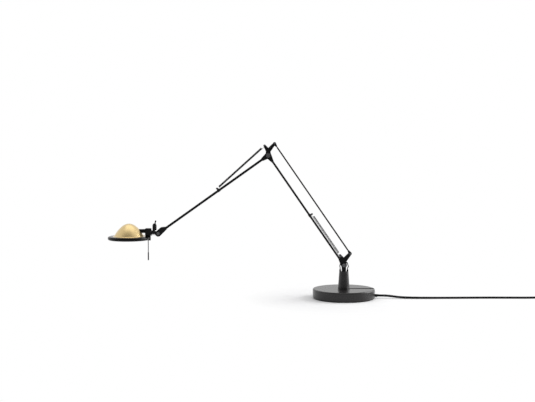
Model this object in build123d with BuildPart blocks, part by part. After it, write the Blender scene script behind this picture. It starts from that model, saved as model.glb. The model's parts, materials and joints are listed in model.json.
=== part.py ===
from build123d import *
import math
import os

os.makedirs("parts", exist_ok=True)

# Desk lamp with a weighted round base, a stem that swivels on it, a lower arm with a parallel tie rod,
# an elbow, an upper arm, two balance springs and a small round head with a halogen capsule.
# Millimetres. Origin: centre of the base where it stands. +Z up, arms lean towards -X in the XZ plane,
# and the front of the lamp is -Y.

# ---------------------------------------------------------------------------------------------------------
# Clearances
# ---------------------------------------------------------------------------------------------------------
running_fit = 0.05          # radial play of a pin or shaft that turns in its bore
side_gap = 0.35             # free space between flat pieces that turn past each other
open_pivot_play = 0.35      # radial play in the tie rod's upper eye, the linkage's open pivot
seat_gap = 0.2              # play round a piece that is laid in a recess

# ---------------------------------------------------------------------------------------------------------
# Base
# ---------------------------------------------------------------------------------------------------------
base_radius = 84.0
base_height = 26.0
base_edge_round = 3.0
base_foot_chamfer = 0.8
pad_thickness = 2.0
pad_radius = 81.0
plate_radius = 64.0
plate_thickness = 2.0
groove_width = 13.0         # groove along the top, from the stem's foot out through the rim
groove_depth = 9.0
groove_start = 13.0
cavity_radius = 28.0        # round space under the middle, for the spigot nut and the lead
cavity_top = 12.0
channel_width = 12.0        # lead channel from the middle to the gland
channel_top = 13.0
transformer_length = 38.0
transformer_width = 43.0
transformer_height = 15.0
transformer_round = 2.5
transformer_x = -38.0
transformer_gap = 0.5
plate_screw_circle = 56.0
plate_screw_count = 4
plate_screw_radius = 2.0
plate_screw_head_radius = 4.0
plate_screw_length = 10.0

# ---------------------------------------------------------------------------------------------------------
# Swivel and stem
# ---------------------------------------------------------------------------------------------------------
spigot_radius = 8.0
spigot_bore = 4.0
spigot_flange_radius = 10.0
spigot_flange_thickness = 3.0
spigot_bottom = 6.5
bush_wall = 2.0
nut_radius = 12.5
nut_height = 3.4
stem_foot_radius = 15.75
stem_top_radius = 12.5
stem_top_z = 73.4
stem_floor = 3.6
stem_roof = 4.0
stem_bore_radius = 10.0
neck_radius = 5.5
lead_bush_radius = 2.3
lead_bush_height = 5.0
lead_bush_x = 10.0
lead_bush_edge = 1.0
lead_hole_radius = 1.9
lead_radius = 1.25
lead_rise = 3.6             # straight up out of its bush
lead_bend = 2.4
lead_end_bend = 1.5
lead_bulge_front = 11.8     # how far out the front lead swings past the pivot
lead_bulge_rear = 10.3
lead_bulge_y = 8.1
lead_bulge_z = -3.0         # from the lower pivot
lead_end_x = 4.6            # where a lead goes into its cheek, from the pivot
lead_end_z = 8.2
lead_end_reach = 3.0

# ---------------------------------------------------------------------------------------------------------
# Arms: pivots in the XZ plane
# ---------------------------------------------------------------------------------------------------------
lower_pivot_x = 0.0
lower_pivot_z = 90.0
lower_arm_length = 360.5
lower_arm_angle = 124.6     # degrees up from +X, at rest
upper_arm_length = 364.0
upper_arm_angle = 215.4
rod_ear_x = 17.0            # tie rod pivot on each yoke, from the arm pivot
rod_ear_z = 31.4
spring_ear_x = -9.8         # spring stud on each yoke, from the arm pivot
spring_ear_z = 25.8

lower_tube_radius = 2.8
upper_tube_radius = 3.2
tube_wall = 0.8
tie_rod_radius = 2.0

# Yokes: flat cheeks with a boss, a waist and two ears
cheek_inner_y = 4.9
cheek_thickness = 2.2
yoke_boss_radius = 7.6
yoke_waist_radius = 6.1
yoke_waist_z = 11.5
rod_ear_radius = 3.6
spring_ear_radius = 3.2
yoke_web_half_width = 5.6
yoke_web_height = 4.5
yoke_web_gap = 1.0          # under the arm's foot

# Arm fittings
foot_half_thickness = 4.5
foot_boss_radius = 8.0
foot_neck_radius = 3.9
foot_length = 22.0
foot_socket_start = 12.0    # where the tube's end sits, from the pivot
tongue_half_thickness = 2.0
tongue_boss_radius = 8.5
tongue_end_radius = 4.8
tongue_length = 15.3        # to the middle of its round end
head_barrel_radius = 3.8
head_barrel_start = 14.0
head_barrel_end = 21.0
head_socket_start = 15.0
clevis_cheek_thickness = 2.2
clevis_neck_radius = 4.6
clevis_length = 22.6
clevis_slot_length = 14.5
clevis_socket_start = 15.5
tip_boss_radius = 8.3
tip_swell_radius = 7.4
tip_swell_along = 13.5      # from the tip's pivot
tip_swell_up = 2.2
tip_neck_radius = 4.2
tip_length = 24.0
tip_slot_length = 11.0
tip_socket_start = 15.0

# Pins and studs
pivot_pin_radius = 2.5
pivot_head_radius = 5.0
pivot_head_thickness = 1.6
rod_pin_radius = 1.5
rod_pin_shoulder_radius = 2.8
rod_pin_head_radius = 2.8
rod_pin_head_thickness = 1.2
eye_radius = 4.2
eye_half_thickness = 2.0
eye_neck_length = 12.0
eye_neck_overlap = 0.5      # how far the rod reaches into the eye's round end
elbow_washer_radius = 6.2
elbow_washer_thickness = 0.8
elbow_spacer_radius = 2.5
elbow_spacer_x = 0.5
elbow_spacer_z = 14.0
stud_radius = 1.1
stud_head_radius = 2.0
stud_head_thickness = 1.2
stud_head_reach = 1.6       # from the spring's plane to the stud's head
driver_slot_width = 0.9
driver_slot_depth = 0.6

# Spring clips on the arms
clip_along = 163.5          # from the arm's own pivot
clip_offset = 7.0           # stud's distance from the tube's axis
clip_sleeve_wall = 0.8
clip_length = 7.0
clip_half_width = 1.6
clip_lug_radius = 1.8

# Springs
spring_wire_radius = 0.45
lower_spring_radius = 2.7   # to the middle of the wire
upper_spring_radius = 2.4
lower_spring_turns = 44
upper_spring_turns = 50
spring_front_y = -11.2      # plane of both springs
spring_hook_long = 10.5     # from the stud to the first curl, at the yoke
spring_hook_short = 7.0     # from the last curl to the stud, at the clip
spring_hook_turn = 220.0    # degrees of wire round a stud

# ---------------------------------------------------------------------------------------------------------
# Head joint, seen from the tip pivot
# ---------------------------------------------------------------------------------------------------------
tilt_eye_radius = 6.5
tilt_eye_half_thickness = 3.0
tilt_pin_radius = 2.0
tilt_pin_head_radius = 4.2
tilt_pin_head_thickness = 1.0
tilt_neck_bottom = -4.0
tilt_neck_top = 6.2
shelf_bottom = 0.0          # shelf that grips the axle and carries the switch
shelf_top = 8.5
shelf_half_depth = 4.2
roll_axis_z = -2.0
axle_radius = 3.0
axle_start = 6.5
axle_end = 31.0
axle_tip_gap = 0.6
switch_x = -10.2
switch_radius = 5.6
switch_base_radius = 4.2
switch_shoulder = 1.6
switch_body_top = 21.6
switch_top = 26.6
switch_top_radius = 3.8
lever_pivot_z = 22.5
lever_lean = 15.0           # degrees to each side of upright
lever_length = 13.0
lever_radius = 1.6
lever_knob_radius = 2.1
lever_ball_radius = 2.2
lever_well_radius = 2.9
lever_pin_radius = 0.8
lever_pin_half_length = 4.0
lever_pin_end_gap = 0.3
roll_washer_radius = 4.4
roll_washer_thickness = 0.8

# ---------------------------------------------------------------------------------------------------------
# Head, seen from the tip pivot
# ---------------------------------------------------------------------------------------------------------
block_right = -19.0
block_left = -35.3
block_top = 14.0
block_bottom = -5.6
block_half_depth = 7.0
block_round = 2.0
leg_left = -34.6
leg_right = -20.9
leg_bottom = -18.6          # its lip reaches under the ring
leg_half_depth = 4.5
head_axis_x = -79.3         # dome's axis
ring_bottom = -17.4
ring_height = 9.6
ring_radius = 57.0
ring_edge_round = 4.2
ring_seat_radius = 44.0
dome_foot_radius = 43.6
dome_height = 39.5
dome_wall = 1.0
retainer_radius = 40.0
retainer_thickness = 1.2
glass_thickness = 2.5
glass_play = 0.3
reflector_foot_radius = 41.0
reflector_height = 37.8
reflector_wall = 0.7
reflector_flange = 0.8
holder_z = 6.6
holder_arm_radius = 5.2
holder_arm_root_radius = 5.7
holder_arm_taper = 7.0
holder_arm_end = -56.5
holder_hole_play = 0.3
lamp_holder_radius = 6.0
lamp_holder_length = 11.0
bulb_radius = 4.9
bulb_wall = 0.9
bulb_length = 29.0
filament_leg_radius = 0.4
filament_leg_spacing = 3.0
filament_leg_length = 14.0
filament_radius = 1.1
handle_x = -27.4
handle_radius = 1.15
handle_length = 52.6
grip_radius = 1.6
grip_length = 20.0

# ---------------------------------------------------------------------------------------------------------
# Mains cord, 1.8 m from the gland to the plug
# ---------------------------------------------------------------------------------------------------------
cord_radius = 3.0
cord_exit_z = 7.2
gland_radius = 4.4
gland_tip_radius = 3.5
gland_tip_length = 9.0
coil_x = 580.0
coil_y = 31.7
coil_floor_z = 4.2          # middle of the lower layer
coil_layer_step = 6.7
coil_outer_radius = 44.7
coil_turn_step = 6.7        # how much nearer the middle each loop lies
coil_turns_in = 3.0
coil_turns_out = 2.5
tie_width = 8.0
tie_thickness = 0.9
tie_gap = 0.2
tie_side_gap = 0.7
tie_angle = 150.0           # round the coil, up from +X
inner_lead_radius = 2.0
plug_x = 648.0              # where the cord goes into the plug
plug_y = 68.0
plug_length = 34.0
plug_front_width = 25.0
plug_height = 13.4
plug_rear_width = 13.0
plug_rear_height = 9.5
plug_waist = 0.55           # share of the plug's length that tapers to the cord
plug_round = 3.5
plug_edge_round = 1.5
plug_pin_radius = 2.0
plug_pin_length = 19.0
plug_pin_spacing = 19.0

# ---------------------------------------------------------------------------------------------------------
# Helpers
# ---------------------------------------------------------------------------------------------------------


def side_plane(x, z, angle=0.0, y=0.0):
    """Plane across the lamp at (x, y, z): local x is turned up by angle, and it faces the front (-Y)."""
    turn = math.radians(angle)
    return Plane(origin=(x, y, z), x_dir=(math.cos(turn), 0, math.sin(turn)), z_dir=(0, -1, 0))


def link(plane, start, start_radius, end, end_radius, depth, both=False):
    """Flat link with round ends of two sizes and straight flanks."""
    with BuildSketch(plane) as outline:
        with Locations(start):
            Circle(start_radius)
        with Locations(end):
            Circle(end_radius)
        make_hull()
    extrude(to_extrude=outline.sketch, amount=depth, both=both)


def disc(plane, centre, radius, depth, both=False, mode=Mode.ADD):
    """Round boss, or a bore with Mode.SUBTRACT, square to the plane."""
    with BuildSketch(plane) as outline:
        with Locations(centre):
            Circle(radius)
    extrude(to_extrude=outline.sketch, amount=depth, both=both, mode=mode)


def block(plane, centre, width, height, depth, both=False, mode=Mode.ADD):
    """Rectangular block square to the plane."""
    with BuildSketch(plane) as outline:
        with Locations(centre):
            Rectangle(width, height)
    extrude(to_extrude=outline.sketch, amount=depth, both=both, mode=mode)


def along(plane, distance):
    """Plane square to the side plane's local x axis, at a distance along it, facing along it."""
    return Plane(origin=plane.from_local_coords((distance, 0, 0)), x_dir=(0, 1, 0), z_dir=plane.x_dir)


def rod(plane, radius, start, end, mode=Mode.ADD):
    """Round bar along the side plane's local x axis, from start to end."""
    with BuildSketch(along(plane, start)) as outline:
        Circle(radius)
    extrude(to_extrude=outline.sketch, amount=end - start, mode=mode)


def cross_pin(plane, shaft_radius, half_length, head_radius, head_thickness):
    """Pin square to the plane, with a slotted head at the front and a plain one at the rear."""
    disc(plane, (0, 0), shaft_radius, half_length, both=True)
    disc(plane.offset(half_length), (0, 0), head_radius, head_thickness)
    disc(plane.offset(-half_length), (0, 0), head_radius, -head_thickness)
    front = plane.offset(half_length + head_thickness)
    block(front, (0, 0), 2 * head_radius, driver_slot_width, -driver_slot_depth, mode=Mode.SUBTRACT)


def yoke_cheek(plane, depth):
    """One flat cheek of a yoke: a boss round the pivot, a waist above it and two ears."""
    waist = (0, yoke_waist_z)
    link(plane, (0, 0), yoke_boss_radius, waist, yoke_waist_radius, depth)
    link(plane, waist, yoke_waist_radius, (rod_ear_x, rod_ear_z), rod_ear_radius, depth)
    link(plane, waist, yoke_waist_radius, (spring_ear_x, spring_ear_z), spring_ear_radius, depth)


def yoke_bores(plane, depth):
    """The pivot, tie rod and spring stud holes through a cheek."""
    disc(plane, (0, 0), pivot_pin_radius, depth, mode=Mode.SUBTRACT)
    disc(plane, (rod_ear_x, rod_ear_z), rod_pin_radius, depth, mode=Mode.SUBTRACT)
    disc(plane, (spring_ear_x, spring_ear_z), stud_radius, depth, mode=Mode.SUBTRACT)


def spring_stud(plane, x, z, root):
    """Stud that stands out towards the front from root to just past the spring, with a head."""
    tip = -spring_front_y + stud_head_reach
    disc(plane.offset(root), (x, z), stud_radius, tip - root)
    disc(plane.offset(tip), (x, z), stud_head_radius, stud_head_thickness)


def rod_pin(plane):
    """Tie rod pin: shoulders keep the eye in the middle, and slotted heads hold the cheeks."""
    cheek_outer = cheek_inner_y + cheek_thickness
    shoulder = cheek_inner_y - eye_half_thickness - side_gap
    cross_pin(plane, rod_pin_radius, cheek_outer, rod_pin_head_radius, rod_pin_head_thickness)
    disc(plane.offset(cheek_inner_y - shoulder), (0, 0), rod_pin_shoulder_radius, shoulder)
    disc(plane.offset(-cheek_inner_y), (0, 0), rod_pin_shoulder_radius, shoulder)


def bowl(axis_x, foot_z, foot_radius, height, wall):
    """Thin upright bowl turned over its foot: its profile is a parabola from the top to the foot's edge."""
    with BuildSketch(Plane.XZ) as profile:
        with BuildLine():
            sides = []
            for radius, top_z in ((foot_radius, foot_z + height), (foot_radius - wall, foot_z + height - wall)):
                sides.append(Bezier((axis_x, top_z), (axis_x + radius / 2, top_z), (axis_x + radius, foot_z)))
            outside, inside = sides
            Line(outside @ 0, inside @ 0)
            Line(outside @ 1, inside @ 1)
        make_face()
    revolve(profile.sketch, axis=Axis((axis_x, 0, 0), (0, 0, 1)))


def biarcs(points, tangents):
    """Pairs of tangent arcs through the points, with the given unit tangents there."""
    pieces = []
    for k in range(len(points) - 1):
        start, end = points[k], points[k + 1]
        leave, arrive = tangents[k], tangents[k + 1]
        chord = end - start
        both = leave + arrive
        lean = chord.dot(both)
        spread = 2 * (1 - leave.dot(arrive))
        if spread < 1e-9:
            pieces.append(Line(start, end))
            continue
        handle = (-lean + math.sqrt(lean * lean + spread * chord.dot(chord))) / spread
        near = start + leave * handle
        far = end - arrive * handle
        middle = (near + far) / 2
        pieces.append(TangentArc(start, middle, tangent=leave))
        pieces.append(TangentArc(middle, end, tangent=(far - near).normalized()))
    return pieces


def least_self_gap(path, wire_radius, skip, furthest):
    """Least distance between points of a path from skip to furthest apart along it, less the diameter."""
    count = int(path.length / (wire_radius / 2))
    points = [tuple(path.position_at(k / count)) for k in range(count + 1)]
    step = path.length / count
    ahead = int(skip / step) + 1
    reach = int(furthest / step)
    least = min(
        math.dist(points[i], points[j])
        for i in range(len(points))
        for j in range(i + ahead, min(i + reach, len(points)))
    )
    return least - 2 * wire_radius


# ---------------------------------------------------------------------------------------------------------
# Places worked out from the driving dimensions
# ---------------------------------------------------------------------------------------------------------
cheek_outer_y = cheek_inner_y + cheek_thickness
stem_foot_z = base_height + side_gap

lower_arm_plane = side_plane(lower_pivot_x, lower_pivot_z, lower_arm_angle)
elbow = lower_arm_plane.from_local_coords((lower_arm_length, 0, 0))
upper_arm_plane = side_plane(elbow.X, elbow.Z, upper_arm_angle)
tip = upper_arm_plane.from_local_coords((upper_arm_length, 0, 0))

stem_plane = side_plane(lower_pivot_x, lower_pivot_z)
elbow_plane = side_plane(elbow.X, elbow.Z)
tip_plane = side_plane(tip.X, tip.Z)
tie_rod_plane = side_plane(lower_pivot_x + rod_ear_x, lower_pivot_z + rod_ear_z, lower_arm_angle)

# ---------------------------------------------------------------------------------------------------------
# Base
# ---------------------------------------------------------------------------------------------------------
casting_height = base_height - pad_thickness
bush_outer_radius = spigot_radius + running_fit + bush_wall
plate_top = pad_thickness + plate_thickness

with BuildPart() as base_casting:
    with Locations((0, 0, pad_thickness)):
        Cylinder(base_radius, casting_height, align=(Align.CENTER, Align.CENTER, Align.MIN))
    fillet(base_casting.edges().group_by(Axis.Z)[-1], base_edge_round)
    chamfer(base_casting.edges().group_by(Axis.Z)[0], base_foot_chamfer)
    # groove along the top
    with BuildSketch(Plane.XY.offset(base_height)):
        with Locations((groove_start + groove_width / 2, 0)):
            Circle(groove_width / 2)
            Rectangle(base_radius, groove_width, align=(Align.MIN, Align.CENTER))
    extrude(amount=-groove_depth, mode=Mode.SUBTRACT)
    # bore for the bush
    disc(Plane.XY.offset(base_height), (0, 0), bush_outer_radius, -casting_height, mode=Mode.SUBTRACT)
    # recess for the bottom plate, and the spaces it covers
    disc(Plane.XY.offset(pad_thickness), (0, 0), plate_radius, plate_thickness, mode=Mode.SUBTRACT)
    disc(Plane.XY.offset(plate_top), (0, 0), cavity_radius, cavity_top - plate_top, mode=Mode.SUBTRACT)
    with BuildSketch(Plane.XY.offset(plate_top)):
        Rectangle(plate_radius, channel_width, align=(Align.MIN, Align.CENTER))
    extrude(amount=channel_top - plate_top, mode=Mode.SUBTRACT)
    block(
        Plane.XY.offset(plate_top),
        (transformer_x, 0),
        transformer_length + 2 * transformer_gap,
        transformer_width + 2 * transformer_gap,
        transformer_height + transformer_gap,
        mode=Mode.SUBTRACT,
    )
    # bore for the cord gland
    with BuildSketch(Plane(origin=(0, 0, cord_exit_z), z_dir=(1, 0, 0))):
        Circle(gland_radius)
    extrude(amount=base_radius + gland_tip_length, mode=Mode.SUBTRACT)
    # tapped holes for the plate screws
    with Locations(Plane.XY.offset(plate_top)):
        with PolarLocations(plate_screw_circle, plate_screw_count, start_angle=45):
            Cylinder(
                plate_screw_radius,
                plate_screw_length,
                align=(Align.CENTER, Align.CENTER, Align.MIN),
                mode=Mode.SUBTRACT,
            )
base_casting.part.label = "base_casting"
export_step(base_casting.part, "parts/base_casting.step")

with BuildPart() as base_pad:
    Cylinder(pad_radius, pad_thickness, align=(Align.CENTER, Align.CENTER, Align.MIN))
base_pad.part.label = "base_pad"
export_step(base_pad.part, "parts/base_pad.step")

with BuildPart() as base_plate:
    disc(Plane.XY.offset(pad_thickness), (0, 0), plate_radius - seat_gap, plate_thickness)
    with Locations(Plane.XY.offset(pad_thickness).rotated((180, 0, 0))):
        with PolarLocations(plate_screw_circle, plate_screw_count, start_angle=45):
            CounterSinkHole(plate_screw_radius, plate_screw_head_radius, plate_thickness, 90)
base_plate.part.label = "base_plate"
export_step(base_plate.part, "parts/base_plate.step")

with BuildPart() as plate_screws:
    with PolarLocations(plate_screw_circle, plate_screw_count, start_angle=45):
        with Locations((0, 0, pad_thickness)):
            Cone(
                plate_screw_head_radius,
                plate_screw_radius,
                plate_thickness,
                align=(Align.CENTER, Align.CENTER, Align.MIN),
            )
            Cylinder(
                plate_screw_radius,
                plate_thickness + plate_screw_length,
                align=(Align.CENTER, Align.CENTER, Align.MIN),
            )
plate_screws.part.label = "plate_screws"
export_step(plate_screws.part, "parts/plate_screws.step")

with BuildPart() as swivel_bush:
    disc(Plane.XY.offset(cavity_top), (0, 0), bush_outer_radius, base_height - cavity_top)
    disc(Plane.XY.offset(cavity_top), (0, 0), spigot_radius + running_fit, base_height, mode=Mode.SUBTRACT)
swivel_bush.part.label = "swivel_bush"
export_step(swivel_bush.part, "parts/swivel_bush.step")

with BuildPart() as transformer:
    block(
        Plane.XY.offset(plate_top),
        (transformer_x, 0),
        transformer_length,
        transformer_width,
        transformer_height,
    )
    fillet(transformer.edges().filter_by(Axis.Z), transformer_round)
transformer.part.label = "transformer"
export_step(transformer.part, "parts/transformer.step")

gland_start = plate_radius
gland_tip = base_radius + gland_tip_length
with BuildPart() as cord_gland:
    with BuildSketch(Plane.XZ):
        with BuildLine():
            Polyline(
                (gland_start, cord_exit_z),
                (gland_start, cord_exit_z + gland_radius),
                (base_radius, cord_exit_z + gland_radius),
                (gland_tip, cord_exit_z + gland_tip_radius),
                (gland_tip, cord_exit_z),
                close=True,
            )
        make_face()
    revolve(axis=Axis((0, 0, cord_exit_z), (1, 0, 0)))
cord_gland.part.label = "cord_gland"
export_step(cord_gland.part, "parts/cord_gland.step")

# ---------------------------------------------------------------------------------------------------------
# Swivel and stem
# ---------------------------------------------------------------------------------------------------------
with BuildPart() as spigot:
    flange_z = stem_foot_z + stem_floor
    disc(Plane.XY.offset(spigot_bottom), (0, 0), spigot_radius, flange_z - spigot_bottom)
    disc(Plane.XY.offset(flange_z), (0, 0), spigot_flange_radius, spigot_flange_thickness)
    disc(Plane.XY.offset(spigot_bottom), (0, 0), spigot_bore, base_height * 2, mode=Mode.SUBTRACT)
spigot.part.label = "spigot"
export_step(spigot.part, "parts/spigot.step")

with BuildPart() as spigot_nut:
    with BuildSketch(Plane.XY.offset(cavity_top - side_gap)):
        RegularPolygon(nut_radius, 6)
        Circle(spigot_radius, mode=Mode.SUBTRACT)
    extrude(amount=-nut_height)
spigot_nut.part.label = "spigot_nut"
export_step(spigot_nut.part, "parts/spigot_nut.step")

with BuildPart() as stem:
    with BuildSketch(Plane.XZ):
        with BuildLine():
            Polyline(
                (spigot_radius, stem_foot_z),
                (stem_foot_radius, stem_foot_z),
                (stem_top_radius, stem_top_z),
                (neck_radius, stem_top_z),
                (neck_radius, stem_top_z - stem_roof),
                (stem_bore_radius, stem_top_z - stem_roof),
                (stem_bore_radius, stem_foot_z + stem_floor),
                (spigot_radius, stem_foot_z + stem_floor),
                close=True,
            )
        make_face()
    revolve(axis=Axis.Z)
    with Locations((lead_bush_x, 0, stem_top_z), (-lead_bush_x, 0, stem_top_z)):
        Cylinder(lead_hole_radius, stem_roof * 4, mode=Mode.SUBTRACT)
stem.part.label = "stem"
export_step(stem.part, "parts/stem.step")

yoke_web_bottom = lower_pivot_z - foot_boss_radius - yoke_web_gap - yoke_web_height
with BuildPart() as lower_yoke:
    for rear in (False, True):
        cheek_plane = stem_plane.offset(-cheek_outer_y if rear else cheek_inner_y)
        yoke_cheek(cheek_plane, cheek_thickness)
        block(
            cheek_plane,
            (0, (yoke_web_bottom - lower_pivot_z) / 2),
            2 * yoke_web_half_width,
            lower_pivot_z - yoke_web_bottom,
            cheek_thickness,
        )
    block(
        Plane.XY.offset(yoke_web_bottom),
        (0, 0),
        2 * yoke_web_half_width,
        2 * cheek_outer_y,
        yoke_web_height,
    )
    disc(Plane.XY.offset(yoke_web_bottom), (0, 0), neck_radius, stem_top_z - stem_roof - yoke_web_bottom)
    for rear in (False, True):
        yoke_bores(stem_plane.offset(-cheek_outer_y if rear else cheek_inner_y), cheek_thickness)
lower_yoke.part.label = "lower_yoke"
export_step(lower_yoke.part, "parts/lower_yoke.step")

with BuildPart() as lower_pivot_pin:
    cross_pin(stem_plane, pivot_pin_radius, cheek_outer_y, pivot_head_radius, pivot_head_thickness)
lower_pivot_pin.part.label = "lower_pivot_pin"
export_step(lower_pivot_pin.part, "parts/lower_pivot_pin.step")

with BuildPart() as tie_rod_pin_lower:
    rod_pin(tie_rod_plane)
tie_rod_pin_lower.part.label = "tie_rod_pin_lower"
export_step(tie_rod_pin_lower.part, "parts/tie_rod_pin_lower.step")

with BuildPart() as spring_stud_lower:
    spring_stud(stem_plane, spring_ear_x, spring_ear_z, cheek_inner_y)
spring_stud_lower.part.label = "spring_stud_lower"
export_step(spring_stud_lower.part, "parts/spring_stud_lower.step")

with BuildPart() as lead_bushes:
    with Locations((lead_bush_x, 0, stem_top_z), (-lead_bush_x, 0, stem_top_z)):
        Cylinder(lead_bush_radius, lead_bush_height, align=(Align.CENTER, Align.CENTER, Align.MIN))
    fillet(lead_bushes.edges().group_by(Axis.Z)[-1], lead_bush_edge)
lead_bushes.part.label = "lead_bushes"
export_step(lead_bushes.part, "parts/lead_bushes.step")

# one lead from each bush round the pivot into a cheek: the right one at the front, the left one at the rear
lead_out_y = cheek_outer_y + lead_end_reach
lead_top_z = stem_top_z + lead_bush_height
with BuildPart() as jumper_leads:
    for side, bulge in ((1, lead_bulge_front), (-1, lead_bulge_rear)):
        with BuildLine() as lead_path:
            FilletPolyline(
                (side * lead_bush_x, 0, lead_top_z),
                (side * lead_bush_x, 0, lead_top_z + lead_rise),
                (side * bulge, -side * lead_bulge_y, lower_pivot_z + lead_bulge_z),
                (side * (bulge + lead_end_x) / 2, -side * lead_out_y, lower_pivot_z + lead_end_z),
                (side * lead_end_x, -side * lead_out_y, lower_pivot_z + lead_end_z + lead_radius),
                (side * lead_end_x, -side * cheek_outer_y, lower_pivot_z + lead_end_z + lead_radius),
                radius=[lead_end_bend, lead_bend, lead_end_bend, lead_end_bend],
            )
        with BuildSketch(Plane(lead_path.line @ 0, z_dir=lead_path.line % 0)):
            Circle(lead_radius)
        sweep(path=lead_path.line)
jumper_leads.part.label = "jumper_leads"
export_step(jumper_leads.part, "parts/jumper_leads.step")

# ---------------------------------------------------------------------------------------------------------
# Lower arm and tie rod
# ---------------------------------------------------------------------------------------------------------
with BuildPart() as lower_arm_foot:
    link(
        lower_arm_plane,
        (0, 0),
        foot_boss_radius,
        (foot_length - foot_neck_radius, 0),
        foot_neck_radius,
        foot_half_thickness,
        both=True,
    )
    disc(lower_arm_plane, (0, 0), pivot_pin_radius + running_fit, foot_half_thickness, True, Mode.SUBTRACT)
    rod(lower_arm_plane, lower_tube_radius, foot_socket_start, foot_length, Mode.SUBTRACT)
lower_arm_foot.part.label = "lower_arm_foot"
export_step(lower_arm_foot.part, "parts/lower_arm_foot.step")

with BuildPart() as lower_arm_tube:
    lower_tube_end = lower_arm_length - head_socket_start
    rod(lower_arm_plane, lower_tube_radius, foot_socket_start, lower_tube_end)
    rod(lower_arm_plane, lower_tube_radius - tube_wall, foot_socket_start, lower_tube_end, Mode.SUBTRACT)
lower_arm_tube.part.label = "lower_arm_tube"
export_step(lower_arm_tube.part, "parts/lower_arm_tube.step")

with BuildPart() as lower_arm_head:
    head_end = lower_arm_length
    link(
        lower_arm_plane,
        (head_end, 0),
        tongue_boss_radius,
        (head_end - tongue_length, 0),
        tongue_end_radius,
        tongue_half_thickness,
        both=True,
    )
    rod(lower_arm_plane, head_barrel_radius, head_end - head_barrel_end, head_end - head_barrel_start)
    disc(
        lower_arm_plane,
        (head_end, 0),
        pivot_pin_radius + running_fit,
        tongue_half_thickness,
        True,
        Mode.SUBTRACT,
    )
    rod(
        lower_arm_plane,
        lower_tube_radius,
        head_end - head_barrel_end,
        head_end - head_socket_start,
        Mode.SUBTRACT,
    )
lower_arm_head.part.label = "lower_arm_head"
export_step(lower_arm_head.part, "parts/lower_arm_head.step")


def spring_clip(plane, tube_radius):
    """Sleeve on an arm's tube, with a lug on the upper side and a stud that stands out to the front."""
    with BuildPart() as clip:
        sleeve_radius = tube_radius + clip_sleeve_wall
        lug_root, lug_tip = (clip_along, 0), (clip_along, -clip_offset)
        link(plane, lug_root, clip_lug_radius, lug_tip, clip_lug_radius, clip_half_width, both=True)
        rod(plane, sleeve_radius, clip_along - clip_length / 2, clip_along + clip_length / 2)
        spring_stud(plane, clip_along, -clip_offset, clip_half_width)
        rod(plane, tube_radius, clip_along - clip_length, clip_along + clip_length, Mode.SUBTRACT)
    return clip


lower_spring_clip = spring_clip(lower_arm_plane, lower_tube_radius)
lower_spring_clip.part.label = "lower_spring_clip"
export_step(lower_spring_clip.part, "parts/lower_spring_clip.step")

with BuildPart() as tie_rod:
    rod(tie_rod_plane, tie_rod_radius, eye_neck_length, lower_arm_length - eye_neck_length)
tie_rod.part.label = "tie_rod"
export_step(tie_rod.part, "parts/tie_rod.step")

with BuildPart() as tie_rod_eyes:
    for place, inward, play in ((0, 1, running_fit), (lower_arm_length, -1, open_pivot_play)):
        neck_end = place + inward * eye_neck_length
        link(
            tie_rod_plane,
            (place, 0),
            eye_radius,
            (neck_end - inward * tie_rod_radius, 0),
            tie_rod_radius,
            eye_half_thickness,
            both=True,
        )
        block(
            along(tie_rod_plane, neck_end),
            (0, 0),
            4 * tie_rod_radius,
            4 * tie_rod_radius,
            -inward * eye_neck_overlap,
            mode=Mode.SUBTRACT,
        )
        disc(tie_rod_plane, (place, 0), rod_pin_radius + play, eye_half_thickness, True, Mode.SUBTRACT)
tie_rod_eyes.part.label = "tie_rod_eyes"
export_step(tie_rod_eyes.part, "parts/tie_rod_eyes.step")

# ---------------------------------------------------------------------------------------------------------
# Elbow
# ---------------------------------------------------------------------------------------------------------
for side_name, near in (("front", cheek_inner_y), ("rear", -cheek_outer_y)):
    with BuildPart() as elbow_cheek:
        yoke_cheek(elbow_plane.offset(near), cheek_thickness)
        yoke_bores(elbow_plane.offset(near), cheek_thickness)
    elbow_cheek.part.label = f"elbow_cheek_{side_name}"
    export_step(elbow_cheek.part, f"parts/elbow_cheek_{side_name}.step")

with BuildPart() as elbow_washers:
    for plane, depth in (
        (elbow_plane.offset(cheek_outer_y), elbow_washer_thickness),
        (elbow_plane.offset(-cheek_outer_y), -elbow_washer_thickness),
    ):
        disc(plane, (0, 0), elbow_washer_radius, depth)
        disc(plane, (0, 0), pivot_pin_radius, depth, mode=Mode.SUBTRACT)
elbow_washers.part.label = "elbow_washers"
export_step(elbow_washers.part, "parts/elbow_washers.step")

with BuildPart() as elbow_pin:
    cross_pin(
        elbow_plane,
        pivot_pin_radius,
        cheek_outer_y + elbow_washer_thickness,
        pivot_head_radius,
        pivot_head_thickness,
    )
elbow_pin.part.label = "elbow_pin"
export_step(elbow_pin.part, "parts/elbow_pin.step")

with BuildPart() as elbow_spacer:
    disc(elbow_plane, (elbow_spacer_x, elbow_spacer_z), elbow_spacer_radius, cheek_inner_y, both=True)
elbow_spacer.part.label = "elbow_spacer"
export_step(elbow_spacer.part, "parts/elbow_spacer.step")

with BuildPart() as tie_rod_pin_upper:
    rod_pin(side_plane(elbow.X + rod_ear_x, elbow.Z + rod_ear_z, lower_arm_angle))
tie_rod_pin_upper.part.label = "tie_rod_pin_upper"
export_step(tie_rod_pin_upper.part, "parts/tie_rod_pin_upper.step")

with BuildPart() as spring_stud_upper:
    spring_stud(elbow_plane, spring_ear_x, spring_ear_z, cheek_inner_y)
spring_stud_upper.part.label = "spring_stud_upper"
export_step(spring_stud_upper.part, "parts/spring_stud_upper.step")

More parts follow.
